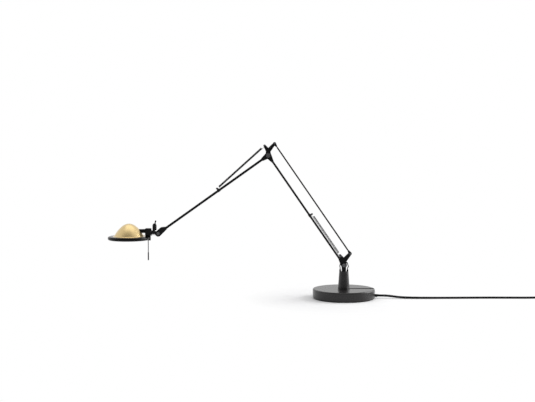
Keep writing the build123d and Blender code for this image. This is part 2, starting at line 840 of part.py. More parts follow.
# ---------------------------------------------------------------------------------------------------------
# Upper arm
# ---------------------------------------------------------------------------------------------------------
clevis_slot = tongue_half_thickness + side_gap
clevis_half_thickness = clevis_slot + clevis_cheek_thickness
with BuildPart() as upper_arm_root:
    link(
        upper_arm_plane,
        (0, 0),
        tongue_boss_radius,
        (clevis_length - clevis_neck_radius, 0),
        clevis_neck_radius,
        clevis_half_thickness,
        both=True,
    )
    with BuildSketch(upper_arm_plane) as slot:
        with Locations((clevis_slot_length, 0)):
            Rectangle(4 * tongue_boss_radius, 4 * tongue_boss_radius, align=(Align.MAX, Align.CENTER))
    extrude(to_extrude=slot.sketch, amount=clevis_slot, both=True, mode=Mode.SUBTRACT)
    disc(upper_arm_plane, (0, 0), pivot_pin_radius + running_fit, clevis_half_thickness, True, Mode.SUBTRACT)
    rod(upper_arm_plane, upper_tube_radius, clevis_socket_start, clevis_length, Mode.SUBTRACT)
upper_arm_root.part.label = "upper_arm_root"
export_step(upper_arm_root.part, "parts/upper_arm_root.step")

with BuildPart() as upper_arm_tube:
    upper_tube_end = upper_arm_length - tip_socket_start
    rod(upper_arm_plane, upper_tube_radius, clevis_socket_start, upper_tube_end)
    rod(upper_arm_plane, upper_tube_radius - tube_wall, clevis_socket_start, upper_tube_end, Mode.SUBTRACT)
upper_arm_tube.part.label = "upper_arm_tube"
export_step(upper_arm_tube.part, "parts/upper_arm_tube.step")

tip_slot = tilt_eye_half_thickness + side_gap
tip_half_thickness = tip_slot + clevis_cheek_thickness
with BuildPart() as upper_arm_tip:
    # leaf-shaped outline: the pivot's boss, a swell above the arm's line and the neck round the tube
    with BuildSketch(upper_arm_plane) as leaf:
        with Locations((upper_arm_length, 0)):
            Circle(tip_boss_radius)
        with Locations((upper_arm_length - tip_swell_along, -tip_swell_up)):
            Circle(tip_swell_radius)
        with Locations((upper_arm_length - tip_length, 0)):
            Circle(tip_neck_radius)
        make_hull()
    extrude(to_extrude=leaf.sketch, amount=tip_half_thickness, both=True)
    with BuildSketch(upper_arm_plane) as slot:
        with Locations((upper_arm_length - tip_slot_length, 0)):
            Rectangle(4 * tip_boss_radius, 4 * tip_boss_radius, align=(Align.MIN, Align.CENTER))
    extrude(to_extrude=slot.sketch, amount=tip_slot, both=True, mode=Mode.SUBTRACT)
    disc(upper_arm_plane, (upper_arm_length, 0), tilt_pin_radius, tip_half_thickness, True, Mode.SUBTRACT)
    rod(
        upper_arm_plane,
        upper_tube_radius,
        upper_arm_length - tip_length - tip_boss_radius,
        upper_arm_length - tip_socket_start,
        Mode.SUBTRACT,
    )
upper_arm_tip.part.label = "upper_arm_tip"
export_step(upper_arm_tip.part, "parts/upper_arm_tip.step")

with BuildPart() as tilt_screw:
    cross_pin(
        tip_plane,
        tilt_pin_radius,
        tip_half_thickness,
        tilt_pin_head_radius,
        tilt_pin_head_thickness,
    )
tilt_screw.part.label = "tilt_screw"
export_step(tilt_screw.part, "parts/tilt_screw.step")

upper_spring_clip = spring_clip(upper_arm_plane, upper_tube_radius)
upper_spring_clip.part.label = "upper_spring_clip"
export_step(upper_spring_clip.part, "parts/upper_spring_clip.step")

# ---------------------------------------------------------------------------------------------------------
# Head joint: tilts on the arm's tip, and carries the roll axle and the switch
# ---------------------------------------------------------------------------------------------------------
roll_plane = side_plane(tip.X, tip.Z + roll_axis_z)
shelf_left = block_right + side_gap
shelf_right = -(tip_boss_radius + side_gap)
washer_right = shelf_left + roll_washer_thickness
with BuildPart() as tilt_eye:
    disc(tip_plane, (0, 0), tilt_eye_radius, tilt_eye_half_thickness, both=True)
    block(
        tip_plane,
        (shelf_right / 2, (tilt_neck_top + tilt_neck_bottom) / 2),
        -shelf_right,
        tilt_neck_top - tilt_neck_bottom,
        tilt_eye_half_thickness,
        both=True,
    )
    block(
        tip_plane,
        ((shelf_left + shelf_right) / 2, (shelf_top + shelf_bottom) / 2),
        shelf_right - shelf_left,
        shelf_top - shelf_bottom,
        shelf_half_depth,
        both=True,
    )
    disc(tip_plane, (0, 0), tilt_pin_radius + running_fit, tilt_eye_half_thickness, True, Mode.SUBTRACT)
    rod(roll_plane, axle_radius, shelf_left, -axle_start, Mode.SUBTRACT)
    rod(roll_plane, roll_washer_radius, shelf_left, washer_right, Mode.SUBTRACT)
tilt_eye.part.label = "tilt_eye"
export_step(tilt_eye.part, "parts/tilt_eye.step")

with BuildPart() as roll_axle:
    rod(roll_plane, axle_radius, -axle_end, -axle_start)
roll_axle.part.label = "roll_axle"
export_step(roll_axle.part, "parts/roll_axle.step")

with BuildPart() as roll_washer:
    rod(roll_plane, roll_washer_radius, shelf_left, washer_right)
    rod(roll_plane, axle_radius, shelf_left, washer_right, Mode.SUBTRACT)
roll_washer.part.label = "roll_washer"
export_step(roll_washer.part, "parts/roll_washer.step")

switch_axis_x = tip.X + switch_x
switch_plane = side_plane(switch_axis_x, tip.Z + lever_pivot_z)
with BuildPart() as switch_body:
    with BuildSketch(Plane.XZ):
        with BuildLine():
            Polyline(
                (switch_axis_x, tip.Z + shelf_top),
                (switch_axis_x + switch_base_radius, tip.Z + shelf_top),
                (switch_axis_x + switch_radius, tip.Z + shelf_top + switch_shoulder),
                (switch_axis_x + switch_radius, tip.Z + switch_body_top),
                (switch_axis_x + switch_top_radius, tip.Z + switch_top),
                (switch_axis_x, tip.Z + switch_top),
                close=True,
            )
        make_face()
    revolve(axis=Axis((switch_axis_x, 0, 0), (0, 0, 1)))
    # well for the lever's ball, bores for its pin, and the slot that it swings in
    with Locations((switch_axis_x, 0, tip.Z + lever_pivot_z)):
        Sphere(lever_well_radius, mode=Mode.SUBTRACT)
    disc(
        switch_plane,
        (0, 0),
        lever_pin_radius + running_fit,
        lever_pin_half_length + lever_pin_end_gap,
        True,
        Mode.SUBTRACT,
    )
    swing = math.tan(math.radians(lever_lean)) * (switch_top - lever_pivot_z)
    block(
        Plane.XY.offset(tip.Z + lever_pivot_z),
        (switch_axis_x, 0),
        2 * (swing + lever_radius + side_gap),
        2 * (lever_radius + side_gap),
        switch_top,
        mode=Mode.SUBTRACT,
    )
switch_body.part.label = "switch_body"
export_step(switch_body.part, "parts/switch_body.step")

lever_plane = side_plane(switch_axis_x, tip.Z + lever_pivot_z, 90 - lever_lean)
with BuildPart() as switch_lever:
    with Locations((switch_axis_x, 0, tip.Z + lever_pivot_z)):
        Sphere(lever_ball_radius)
    disc(switch_plane, (0, 0), lever_pin_radius, lever_pin_half_length, both=True)
    rod(lever_plane, lever_radius, 0, lever_length)
    with BuildSketch(along(lever_plane, lever_length * 0.5)):
        Circle(lever_radius)
    with BuildSketch(along(lever_plane, lever_length)):
        Circle(lever_knob_radius)
    loft()
    fillet(switch_lever.faces().sort_by(Axis.Z)[-1].edges(), lever_radius * 0.8)
switch_lever.part.label = "switch_lever"
export_step(switch_lever.part, "parts/switch_lever.step")

# ---------------------------------------------------------------------------------------------------------
# Head
# ---------------------------------------------------------------------------------------------------------
axis_x = tip.X + head_axis_x
ring_z = tip.Z + ring_bottom
glass_z = ring_z + retainer_thickness
reflector_z = glass_z + glass_thickness
dome_foot_z = reflector_z + reflector_flange
holder_plane = side_plane(tip.X, tip.Z + holder_z)
axle_bore_end = -axle_end - axle_tip_gap

with BuildPart() as shade_ring:
    with Locations((axis_x, 0, ring_z)):
        Cylinder(ring_radius, ring_height, align=(Align.CENTER, Align.CENTER, Align.MIN))
    fillet(shade_ring.edges().filter_by(GeomType.CIRCLE), ring_edge_round)
    disc(Plane.XY.offset(ring_z), (axis_x, 0), ring_seat_radius, ring_height, mode=Mode.SUBTRACT)
shade_ring.part.label = "shade_ring"
export_step(shade_ring.part, "parts/shade_ring.step")

with BuildPart() as glass_retainer:
    disc(Plane.XY.offset(ring_z), (axis_x, 0), ring_seat_radius, retainer_thickness)
    disc(Plane.XY.offset(ring_z), (axis_x, 0), retainer_radius, retainer_thickness, mode=Mode.SUBTRACT)
glass_retainer.part.label = "glass_retainer"
export_step(glass_retainer.part, "parts/glass_retainer.step")

with BuildPart() as lens_glass:
    disc(Plane.XY.offset(glass_z), (axis_x, 0), ring_seat_radius - glass_play, glass_thickness)
lens_glass.part.label = "lens_glass"
export_step(lens_glass.part, "parts/lens_glass.step")

with BuildPart() as reflector:
    bowl(axis_x, reflector_z, reflector_foot_radius, reflector_height, reflector_wall)
    with BuildSketch(Plane.XY.offset(reflector_z)) as flange:
        with Locations((axis_x, 0)):
            Circle(ring_seat_radius - glass_play)
            Circle(reflector_foot_radius - 2 * reflector_wall, mode=Mode.SUBTRACT)
    extrude(to_extrude=flange.sketch, amount=reflector_flange)
    rod(
        holder_plane,
        lamp_holder_radius + holder_hole_play,
        holder_arm_end - lamp_holder_length,
        block_left,
        Mode.SUBTRACT,
    )
reflector.part.label = "reflector"
export_step(reflector.part, "parts/reflector.step")

with BuildPart() as dome:
    bowl(axis_x, dome_foot_z, dome_foot_radius, dome_height, dome_wall)
    rod(holder_plane, holder_arm_radius + holder_hole_play, holder_arm_end, block_left, Mode.SUBTRACT)
dome.part.label = "dome"
export_step(dome.part, "parts/dome.step")

with BuildPart() as head_block:
    block(
        tip_plane,
        ((block_left + block_right) / 2, (block_top + block_bottom) / 2),
        block_right - block_left,
        block_top - block_bottom,
        block_half_depth,
        both=True,
    )
    fillet(head_block.edges(), block_round)
    # leg down to the ring, gripping its rim
    block(
        tip_plane,
        ((leg_left + leg_right) / 2, (leg_bottom + block_bottom) / 2 + 1.0),
        leg_right - leg_left,
        block_bottom - leg_bottom + 2.0,
        leg_half_depth,
        both=True,
    )
    add(shade_ring.part, mode=Mode.SUBTRACT)
    rod(roll_plane, axle_radius + running_fit, axle_bore_end, block_right, Mode.SUBTRACT)
head_block.part.label = "head_block"
export_step(head_block.part, "parts/head_block.step")

with BuildPart() as holder_arm:
    with BuildSketch(along(holder_plane, block_left)):
        Circle(holder_arm_root_radius)
    with BuildSketch(along(holder_plane, block_left - holder_arm_taper)):
        Circle(holder_arm_radius)
    loft()
    rod(holder_plane, holder_arm_radius, holder_arm_end, block_left - holder_arm_taper)
holder_arm.part.label = "holder_arm"
export_step(holder_arm.part, "parts/holder_arm.step")

bulb_start = holder_arm_end - lamp_holder_length
with BuildPart() as lamp_holder:
    rod(holder_plane, lamp_holder_radius, bulb_start, holder_arm_end)
lamp_holder.part.label = "lamp_holder"
export_step(lamp_holder.part, "parts/lamp_holder.step")

with BuildPart() as bulb_glass:
    rod(holder_plane, bulb_radius, bulb_start - bulb_length, bulb_start)
    fillet(bulb_glass.edges().sort_by(Axis.X)[0], bulb_radius * 0.8)
    bulb_hollow_end = bulb_start - bulb_length + 2 * bulb_radius
    rod(holder_plane, bulb_radius - bulb_wall, bulb_hollow_end, bulb_start, Mode.SUBTRACT)
bulb_glass.part.label = "bulb_glass"
export_step(bulb_glass.part, "parts/bulb_glass.step")

with BuildPart() as bulb_filament:
    for side in (1, -1):
        with BuildSketch(along(holder_plane, bulb_start)) as leg:
            with Locations((side * filament_leg_spacing / 2, 0)):
                Circle(filament_leg_radius)
        extrude(to_extrude=leg.sketch, amount=-filament_leg_length)
    filament_place = holder_plane.from_local_coords((bulb_start - filament_leg_length, 0, 0))
    with Locations(filament_place):
        Cylinder(filament_radius, filament_leg_spacing + 2 * filament_leg_radius, rotation=(90, 0, 0))
bulb_filament.part.label = "bulb_filament"
export_step(bulb_filament.part, "parts/bulb_filament.step")

handle_top = tip.Z + leg_bottom
with BuildPart() as handle_rod:
    with Locations((tip.X + handle_x, 0, handle_top - handle_length)):
        Cylinder(handle_radius, handle_length, align=(Align.CENTER, Align.CENTER, Align.MIN))
handle_rod.part.label = "handle_rod"
export_step(handle_rod.part, "parts/handle_rod.step")

with BuildPart() as handle_grip:
    with Locations((tip.X + handle_x, 0, handle_top - handle_length - grip_radius)):
        Cylinder(grip_radius, grip_length + grip_radius, align=(Align.CENTER, Align.CENTER, Align.MIN))
    fillet(handle_grip.edges().group_by(Axis.Z)[0], grip_radius * 0.8)
    add(handle_rod.part, mode=Mode.SUBTRACT)
handle_grip.part.label = "handle_grip"
export_step(handle_grip.part, "parts/handle_grip.step")

# ---------------------------------------------------------------------------------------------------------
# Springs: wound tubes from the yoke's stud to the clip's stud
# ---------------------------------------------------------------------------------------------------------


def wound_spring(anchor, clip, coil_radius, turns):
    """Extension spring of one wire between two studs that point to the front.

    In the spring's own frame u runs from the anchor to the clip, v is square to it in the plane of both
    studs' ends, and w is to the front. The hooks are rings in the u-v plane, and each curl between them is
    the helix u = start + pitch * turn, v = r * cos(2 pi turn), w = r * sin(2 pi turn).
    """
    span = (clip - anchor).length
    frame = Plane(origin=anchor, x_dir=(clip - anchor).normalized(), z_dir=(0, -1, 0))
    curl_start = spring_hook_long
    curl_end = span - spring_hook_short
    pitch = (curl_end - curl_start) / turns
    rise = pitch / (2 * math.pi)

    def ring(centre, degrees):
        turn = math.radians(degrees)
        return Vector(centre + coil_radius * math.cos(turn), coil_radius * math.sin(turn), 0)

    def ring_tangent(degrees):
        turn = math.radians(degrees)
        return Vector(math.sin(turn), -math.cos(turn), 0)

    points, tangents = [], []
    free_end = 90 + spring_hook_turn
    steps = 3
    for k in range(steps + 1):
        degrees = free_end - spring_hook_turn * k / steps
        points.append(ring(0, degrees))
        tangents.append(ring_tangent(degrees))
    points.append(Vector(curl_start - pitch, coil_radius, 0))
    tangents.append(Vector(1, 0, 0))
    half_turns = 2 * turns - 1
    for k in range(half_turns + 1):
        turn = math.pi / 2 + math.pi * k
        at = curl_start + rise * turn
        points.append(Vector(at, coil_radius * math.cos(turn), coil_radius * math.sin(turn)))
        helix = Vector(rise, -coil_radius * math.sin(turn), coil_radius * math.cos(turn))
        tangents.append(helix.normalized())
    points.append(Vector(curl_end + pitch, coil_radius, 0))
    tangents.append(Vector(1, 0, 0))
    for k in range(steps + 1):
        degrees = 90 - spring_hook_turn * k / steps
        points.append(ring(span, degrees))
        tangents.append(ring_tangent(degrees))
    lead_in = 2 * spring_wire_radius
    points.insert(0, points[0] - tangents[0] * lead_in)
    tangents.insert(0, tangents[0])
    points.append(points[-1] + tangents[-1] * lead_in)
    tangents.append(tangents[-1])

    places = [frame.from_local_coords(point) for point in points]
    turned = [(frame.from_local_coords(t) - frame.origin).normalized() for t in tangents]
    with BuildPart() as spring:
        with BuildLine() as wire:
            biarcs(places, turned)
        path = wire.wire()
        with BuildSketch(Plane(path @ 0, z_dir=path % 0)):
            Circle(spring_wire_radius)
        sweep(path=path)
    gap = least_self_gap(path, spring_wire_radius, math.pi * coil_radius, 3 * math.pi * coil_radius)
    print(f"spring: length {path.length:.1f}, least gap to itself {gap:.2f}")
    return spring


def stud_place(plane, x, z):
    """Where a spring's hook goes round a stud."""
    return plane.offset(-spring_front_y).from_local_coords((x, z, 0))


lower_spring = wound_spring(
    stud_place(stem_plane, spring_ear_x, spring_ear_z),
    stud_place(lower_arm_plane, clip_along, -clip_offset),
    lower_spring_radius,
    lower_spring_turns,
)
lower_spring.part.label = "lower_spring"
export_step(lower_spring.part, "parts/lower_spring.step")

upper_spring = wound_spring(
    stud_place(elbow_plane, spring_ear_x, spring_ear_z),
    stud_place(upper_arm_plane, clip_along, -clip_offset),
    upper_spring_radius,
    upper_spring_turns,
)
upper_spring.part.label = "upper_spring"
export_step(upper_spring.part, "parts/upper_spring.step")

# ---------------------------------------------------------------------------------------------------------
# Cord
# ---------------------------------------------------------------------------------------------------------


def bend_radii(route):
    """Radius at each corner of a route: 0.45 of the shorter run over the tangent of half the turn."""
    radii = []
    for before, here, after in zip(route, route[1:], route[2:]):
        run_in, run_out = Vector(here) - Vector(before), Vector(after) - Vector(here)
        turn = math.radians(run_in.get_angle(run_out))
        radii.append(0.45 * min(run_in.length, run_out.length) / math.tan(turn / 2))
    return radii


def laid_tube(name, route, radius):
    """Tube along straight runs joined by tangent arcs; prints its length, least radius and volume check."""
    radii = bend_radii(route)
    with BuildPart() as tube:
        with BuildLine() as line:
            FilletPolyline(*route, radius=radii)
        path = line.wire()
        with BuildSketch(Plane(path @ 0, z_dir=path % 0)):
            Circle(radius)
        sweep(path=path)
    section = math.pi * radius * radius
    print(
        f"{name}: length {path.length:.1f}, radii {[round(r, 1) for r in radii]},",
        f"volume over section times length {tube.part.volume / (section * path.length):.4f}",
    )
    return tube


coil_top_z = coil_floor_z + coil_layer_step
spiral_slope = coil_turn_step / (2 * math.pi)
coil_inner_radius = coil_outer_radius - coil_turn_step * coil_turns_in
coil_tail_radius = coil_inner_radius + coil_turn_step * coil_turns_out

cord_run_route = [
    (gland_tip, 0, cord_exit_z),
    (109, 0, cord_exit_z),
    (127, -2.4, 6.0),
    (150, -7.6, 3.5),
    (180, -12, 3.0),
    (220, -15, 3.0),
    (270, -15.8, 3.0),
    (328, -13.4, 3.0),
    (390, -11.2, 3.0),
    (448, -12.4, 3.0),
    (503, -14.8, 3.2),
    (548, coil_y - coil_outer_radius, coil_floor_z),
    (coil_x, coil_y - coil_outer_radius, coil_floor_z),
]
cord_run = laid_tube("cord run", cord_run_route, cord_radius)
cord_run.part.label = "cord_run"
export_step(cord_run.part, "parts/cord_run.step")


def coil_point(turn):
    """Middle of the coiled cord after so many turns, and its direction there.

    The lower layer spirals in at a steady rate, the spiral reverses and climbs in half a turn, and the upper
    layer spirals out at the same rate.
    """
    angle = 2 * math.pi * turn
    reverse = angle - 2 * math.pi * coil_turns_in
    if reverse < 0:
        radius, slope, z, climb = coil_outer_radius - spiral_slope * angle, -spiral_slope, coil_floor_z, 0
    elif reverse < math.pi:
        radius = coil_inner_radius - spiral_slope * reverse * (1 - reverse / math.pi)
        slope = -spiral_slope * (1 - 2 * reverse / math.pi)
        z = coil_floor_z + coil_layer_step * (1 - math.cos(reverse)) / 2
        climb = coil_layer_step * math.sin(reverse) / 2
    else:
        radius = coil_inner_radius + spiral_slope * (reverse - math.pi)
        slope, z, climb = spiral_slope, coil_top_z, 0
    heading = angle - math.pi / 2
    out = Vector(math.cos(heading), math.sin(heading), 0)
    onward = Vector(-math.sin(heading), math.cos(heading), 0)
    place = Vector(coil_x, coil_y, z) + out * radius
    direction = onward * radius + out * slope + Vector(0, 0, climb)
    return place, direction.normalized()


coil_turns = coil_turns_in + 0.5 + coil_turns_out
quarter_turns = round(4 * coil_turns)
coil_places = [coil_point(coil_turns * k / quarter_turns) for k in range(quarter_turns + 1)]
coil_points = [place for place, _ in coil_places]
coil_tangents = [direction for _, direction in coil_places]
# both ends run straight for one diameter, along the stretches that they meet
straight_end = Vector(2 * cord_radius, 0, 0)
coil_points = [coil_points[0], coil_points[0] + straight_end, *coil_points[1:-1]]
coil_points += [coil_point(coil_turns)[0] - straight_end, coil_point(coil_turns)[0]]
coil_tangents = [Vector(1, 0, 0)] * 2 + coil_tangents[1:-1] + [Vector(1, 0, 0)] * 2
with BuildPart() as cord_coil:
    with BuildLine() as coil_line:
        biarcs(coil_points, coil_tangents)
    coil_path = coil_line.wire()
    with BuildSketch(Plane(coil_path @ 0, z_dir=coil_path % 0)):
        Circle(cord_radius)
    sweep(path=coil_path)
coil_skip = math.pi * coil_inner_radius
coil_gap = least_self_gap(coil_path, cord_radius, coil_skip, math.tau * 3 * coil_outer_radius)
print(f"cord coil: length {coil_path.length:.1f}, least gap to itself {coil_gap:.2f}")
cord_coil.part.label = "cord_coil"
export_step(cord_coil.part, "parts/cord_coil.step")

plug_z = plug_height / 2
cord_tail_route = [
    (coil_x, coil_y - coil_tail_radius, coil_top_z),
    (600, coil_y - coil_tail_radius, coil_top_z),
    (619, -5.6, 9.8),
    (635, 5, 5.4),
    (644.5, 21, 3.0),
    (647.5, 38, 4.0),
    (plug_x, 54, plug_z),
    (plug_x, plug_y, plug_z),
]
cord_tail = laid_tube("cord tail", cord_tail_route, cord_radius)
cord_tail.part.label = "cord_tail"
export_step(cord_tail.part, "parts/cord_tail.step")

# strap round all the turns, in the plane through the coil's middle at the tie's angle
tie_plane = Plane(
    origin=(coil_x, coil_y, 0),
    x_dir=(math.cos(math.radians(tie_angle)), math.sin(math.radians(tie_angle)), 0),
    z_dir=(math.sin(math.radians(tie_angle)), -math.cos(math.radians(tie_angle)), 0),
)
tie_turn = (tie_angle + 90) / 360
tie_outer = coil_outer_radius - coil_turn_step * tie_turn + cord_radius + tie_side_gap
tie_inner = coil_inner_radius + coil_turn_step * (tie_turn - 0.5) - cord_radius - tie_side_gap
tie_bottom = coil_floor_z - cord_radius - tie_gap
tie_top = coil_top_z + cord_radius + tie_gap
with BuildPart() as cord_tie:
    with BuildSketch(tie_plane) as loop:
        with Locations(((tie_inner + tie_outer) / 2, (tie_bottom + tie_top) / 2)):
            inside = (tie_outer - tie_inner, tie_top - tie_bottom)
            RectangleRounded(inside[0] + 2 * tie_thickness, inside[1] + 2 * tie_thickness, cord_radius)
            RectangleRounded(*inside, cord_radius - tie_thickness, mode=Mode.SUBTRACT)
    extrude(to_extrude=loop.sketch, amount=tie_width / 2, both=True)
cord_tie.part.label = "cord_tie"
export_step(cord_tie.part, "parts/cord_tie.step")

plug_rear_plane = Plane(origin=(plug_x, plug_y, plug_z), x_dir=(-1, 0, 0), z_dir=(0, 1, 0))
plug_front_plane = plug_rear_plane.offset(plug_length)
with BuildPart() as plug_body:
    with BuildSketch(plug_rear_plane):
        RectangleRounded(plug_rear_width, plug_rear_height, plug_round)
    with BuildSketch(plug_rear_plane.offset(plug_length * plug_waist)):
        RectangleRounded(plug_front_width, plug_height, plug_round)
    loft()
    with BuildSketch(plug_rear_plane.offset(plug_length * plug_waist)) as front:
        RectangleRounded(plug_front_width, plug_height, plug_round)
    extrude(to_extrude=front.sketch, amount=plug_length * (1 - plug_waist))
    fillet(plug_body.faces().sort_by(Axis.Y)[-1].edges(), plug_edge_round)
plug_body.part.label = "plug_body"
export_step(plug_body.part, "parts/plug_body.step")

with BuildPart() as plug_pins:
    with Locations(plug_front_plane):
        with GridLocations(plug_pin_spacing, 0, 2, 1):
            Cylinder(plug_pin_radius, plug_pin_length, align=(Align.CENTER, Align.CENTER, Align.MIN))
    fillet(plug_pins.edges().group_by(Axis.Y)[-1], plug_pin_radius * 0.6)
plug_pins.part.label = "plug_pins"
export_step(plug_pins.part, "parts/plug_pins.step")

# lead inside the base, round the spigot's nut from the gland to the transformer
transformer_face_x = transformer_x + transformer_length / 2
inner_lead_route = [
    (gland_start, 0, cord_exit_z),
    (52, 0, cord_exit_z),
    (38, 0.4, 7.0),
    (25, 3.6, 7.0),
    (14, 13, 7.0),
    (-2, 17, 7.0),
    (transformer_face_x, 17, 7.0),
]
inner_lead = laid_tube("inner lead", inner_lead_route, inner_lead_radius)
inner_lead.part.label = "inner_lead"
export_step(inner_lead.part, "parts/inner_lead.step")
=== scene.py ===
"""Desk lamp with balanced arms: finishes, springs, mains cord and studio, around the lamp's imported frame.

Metres. The origin is the centre of the base where it stands, +Z is up, the arms lean towards -X, the mains
cord leaves towards +X and the front of the lamp is -Y.
"""

import json
import math

import bpy
import numpy as np
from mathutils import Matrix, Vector


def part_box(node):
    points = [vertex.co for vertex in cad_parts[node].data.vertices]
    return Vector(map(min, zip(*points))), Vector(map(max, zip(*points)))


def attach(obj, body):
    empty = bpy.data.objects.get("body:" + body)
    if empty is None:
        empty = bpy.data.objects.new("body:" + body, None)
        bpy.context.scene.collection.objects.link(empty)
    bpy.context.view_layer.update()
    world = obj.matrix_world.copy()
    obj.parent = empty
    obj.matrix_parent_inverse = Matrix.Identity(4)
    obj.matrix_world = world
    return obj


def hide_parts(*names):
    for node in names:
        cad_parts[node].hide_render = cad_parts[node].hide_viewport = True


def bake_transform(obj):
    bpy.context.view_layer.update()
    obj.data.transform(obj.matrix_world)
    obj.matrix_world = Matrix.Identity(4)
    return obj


bl_info = {
    "name": "Balanced desk lamp",
    "version": (1, 0, 0),
    "blender": (4, 5, 0),
    "location": "View3D > Sidebar > Desk lamp",
    "description": "Finishes, springs, mains cord and studio for a desk lamp with balanced arms",
    "category": "Add Mesh",
}

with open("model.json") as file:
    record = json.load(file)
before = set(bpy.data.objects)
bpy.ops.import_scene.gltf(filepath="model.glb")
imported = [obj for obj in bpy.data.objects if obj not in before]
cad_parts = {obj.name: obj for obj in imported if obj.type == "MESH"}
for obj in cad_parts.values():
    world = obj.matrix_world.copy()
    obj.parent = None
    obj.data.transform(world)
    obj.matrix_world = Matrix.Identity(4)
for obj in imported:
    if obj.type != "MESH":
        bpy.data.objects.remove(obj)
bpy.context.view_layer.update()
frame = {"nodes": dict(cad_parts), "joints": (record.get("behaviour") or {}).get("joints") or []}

MM = 0.001
RIGHT = np.array([1.0, 0.0, 0.0])
FRONT = np.array([0.0, -1.0, 0.0])
UP = np.array([0.0, 0.0, 1.0])
pivot = {j["name"]: np.array(j["pos_m"]) for j in frame["joints"]}


# ---------------------------------------------------------------------------------------------------------
# Sizes and colours that a user would change
# ---------------------------------------------------------------------------------------------------------
def length(text, default):
    return bpy.props.FloatProperty(name=text, description=text, default=default, subtype="DISTANCE",
                                   unit="LENGTH", precision=5)


def colour(text, default):
    return bpy.props.FloatVectorProperty(name=text, description=text, default=default, subtype="COLOR",
                                         size=3, min=0.0, max=1.0)


class LampSpringSizes(bpy.types.PropertyGroup):
    """The two balance springs."""

    wire_radius: length("Radius of the springs' wire", 0.45 * MM)
    lower_radius: length("Lower spring: middle of the wire from the spring's axis", 2.7 * MM)
    upper_radius: length("Upper spring: middle of the wire from the spring's axis", 2.4 * MM)
    clip_along: length("Spring clip's place along its arm, from the arm's pivot", 163.5 * MM)
    clip_offset: length("Spring clip's stud from the middle of the arm's tube", 7.0 * MM)
    hook_long: length("Straight wire from the yoke's stud to the first curl", 10.5 * MM)
    hook_short: length("Straight wire from the last curl to the clip's stud", 7.0 * MM)
    lower_step: length("Lower spring: step from one curl to the next", 1.26 * MM)
    upper_step: length("Upper spring: step from one curl to the next", 1.08 * MM)


class LampCordSizes(bpy.types.PropertyGroup):
    """The mains cord and its coil."""

    cord_radius: length("Radius of the mains cord", 3.0 * MM)
    cord_length: length("Length of the mains cord from the gland to the plug", 1.86)
    coil_x: length("Middle of the coil, along X", 580.0 * MM)
    coil_y: length("Middle of the coil, along Y", 31.7 * MM)
    coil_floor: length("Height of the coil's lower layer", 4.2 * MM)
    coil_layer: length("Height from the lower layer to the upper one", 6.7 * MM)
    coil_outer: length("Radius of the coil's outermost turn", 44.7 * MM)
    coil_step: length("Step from one turn to the next", 6.7 * MM)


class LampColours(bpy.types.PropertyGroup):
    """The lamp's main colours, linear."""

    base_paint: colour("Textured paint on the base", (0.014, 0.013, 0.0135))
    arm_paint: colour("Satin paint on the arms and the yokes", (0.0035, 0.0035, 0.004))
    black_plastic: colour("Moulded black plastic", (0.004, 0.004, 0.0045))
    brass: colour("Satin brass of the dome", (0.66, 0.50, 0.235))
    steel: colour("Drawn steel of the springs and the handle rod", (0.20, 0.20, 0.205))
    rubber: colour("Black rubber of the cord and the pad", (0.004, 0.004, 0.0045))


# colours of the small parts, linear
PLATE_STEEL = (0.42, 0.42, 0.43)
PIN_STEEL = (0.13, 0.13, 0.135)
AXLE_STEEL = (0.60, 0.60, 0.61)
BUSH_CREAM = (0.62, 0.60, 0.54)
CASE_BLACK = (0.02, 0.02, 0.022)
STRAP_BLACK = (0.02, 0.02, 0.02)
RING_BLACK = (0.002, 0.002, 0.0022)
GLASS_TINT = (0.95, 0.97, 0.97)
REFLECTOR_SHEET = (0.86, 0.86, 0.87)
CERAMIC_CREAM = (0.72, 0.70, 0.66)
FILAMENT_GREY = (0.45, 0.44, 0.42)
CONTACT_METAL = (0.72, 0.66, 0.52)
# painted shade: the upper spring is the same steel as the lower one, painted darker to this share of its
# colour for the shade it is seen in from below
UPPER_SPRING_PAINTED_SHADE = 0.25   # of the steel's colour
HANDLE_SHARE = 0.6


def colours():
    return bpy.context.scene.lamp_colours


def darker(tone, share):
    return tuple(c * share for c in tone)


# ---------------------------------------------------------------------------------------------------------
# Surfaces
# ---------------------------------------------------------------------------------------------------------
def surface(name, grid, close_u=False, close_v=False, cap_u=False):
    """Mesh of a grid of points, grid[i, j] = P(u_i, v_j).

    Quad (i, j) joins P(i, j), P(i+1, j), P(i+1, j+1), P(i, j+1). close_u and close_v join the last row or
    column to the first, and cap_u closes the first and the last ring with one face each.
    """
    rows, columns = grid.shape[:2]
    index = np.arange(rows * columns).reshape(rows, columns)
    if close_u:
        index = np.vstack([index, index[:1]])
    if close_v:
        index = np.hstack([index, index[:, :1]])
    quads = np.stack([index[:-1, :-1], index[1:, :-1], index[1:, 1:], index[:-1, 1:]], axis=-1)
    faces = quads.reshape(-1, 4).tolist()
    if cap_u:
        ring = np.arange(columns)
        faces += [ring.tolist(), ((rows - 1) * columns + ring)[::-1].tolist()]
    mesh = bpy.data.meshes.new(name)
    mesh.from_pydata(grid.reshape(-1, 3).tolist(), [], faces)
    mesh.polygons.foreach_set("use_smooth", np.ones(len(mesh.polygons), bool))
    mesh.update()
    obj = bpy.data.objects.new(name, mesh)
    bpy.context.scene.collection.objects.link(obj)
    return obj


def unit(vectors):
    return vectors / np.linalg.norm(vectors, axis=-1, keepdims=True)


def tube(name, path, side, radius, sides):
    """Round tube round a path: P(i, a) = path_i + r (cos(a) n_i + sin(a) b_i).

    n is the part of the vectors in side that is square to the path, and b = t x n, with t the path's
    direction.
    """
    t = unit(np.gradient(path, axis=0))
    n = unit(side - np.sum(side * t, axis=1, keepdims=True) * t)
    b = np.cross(t, n)
    a = np.linspace(0, 2 * np.pi, sides, endpoint=False)[None, :, None]
    ring = np.cos(a) * n[:, None] + np.sin(a) * b[:, None]
    return surface(name, path[:, None] + radius * ring, close_v=True, cap_u=True)


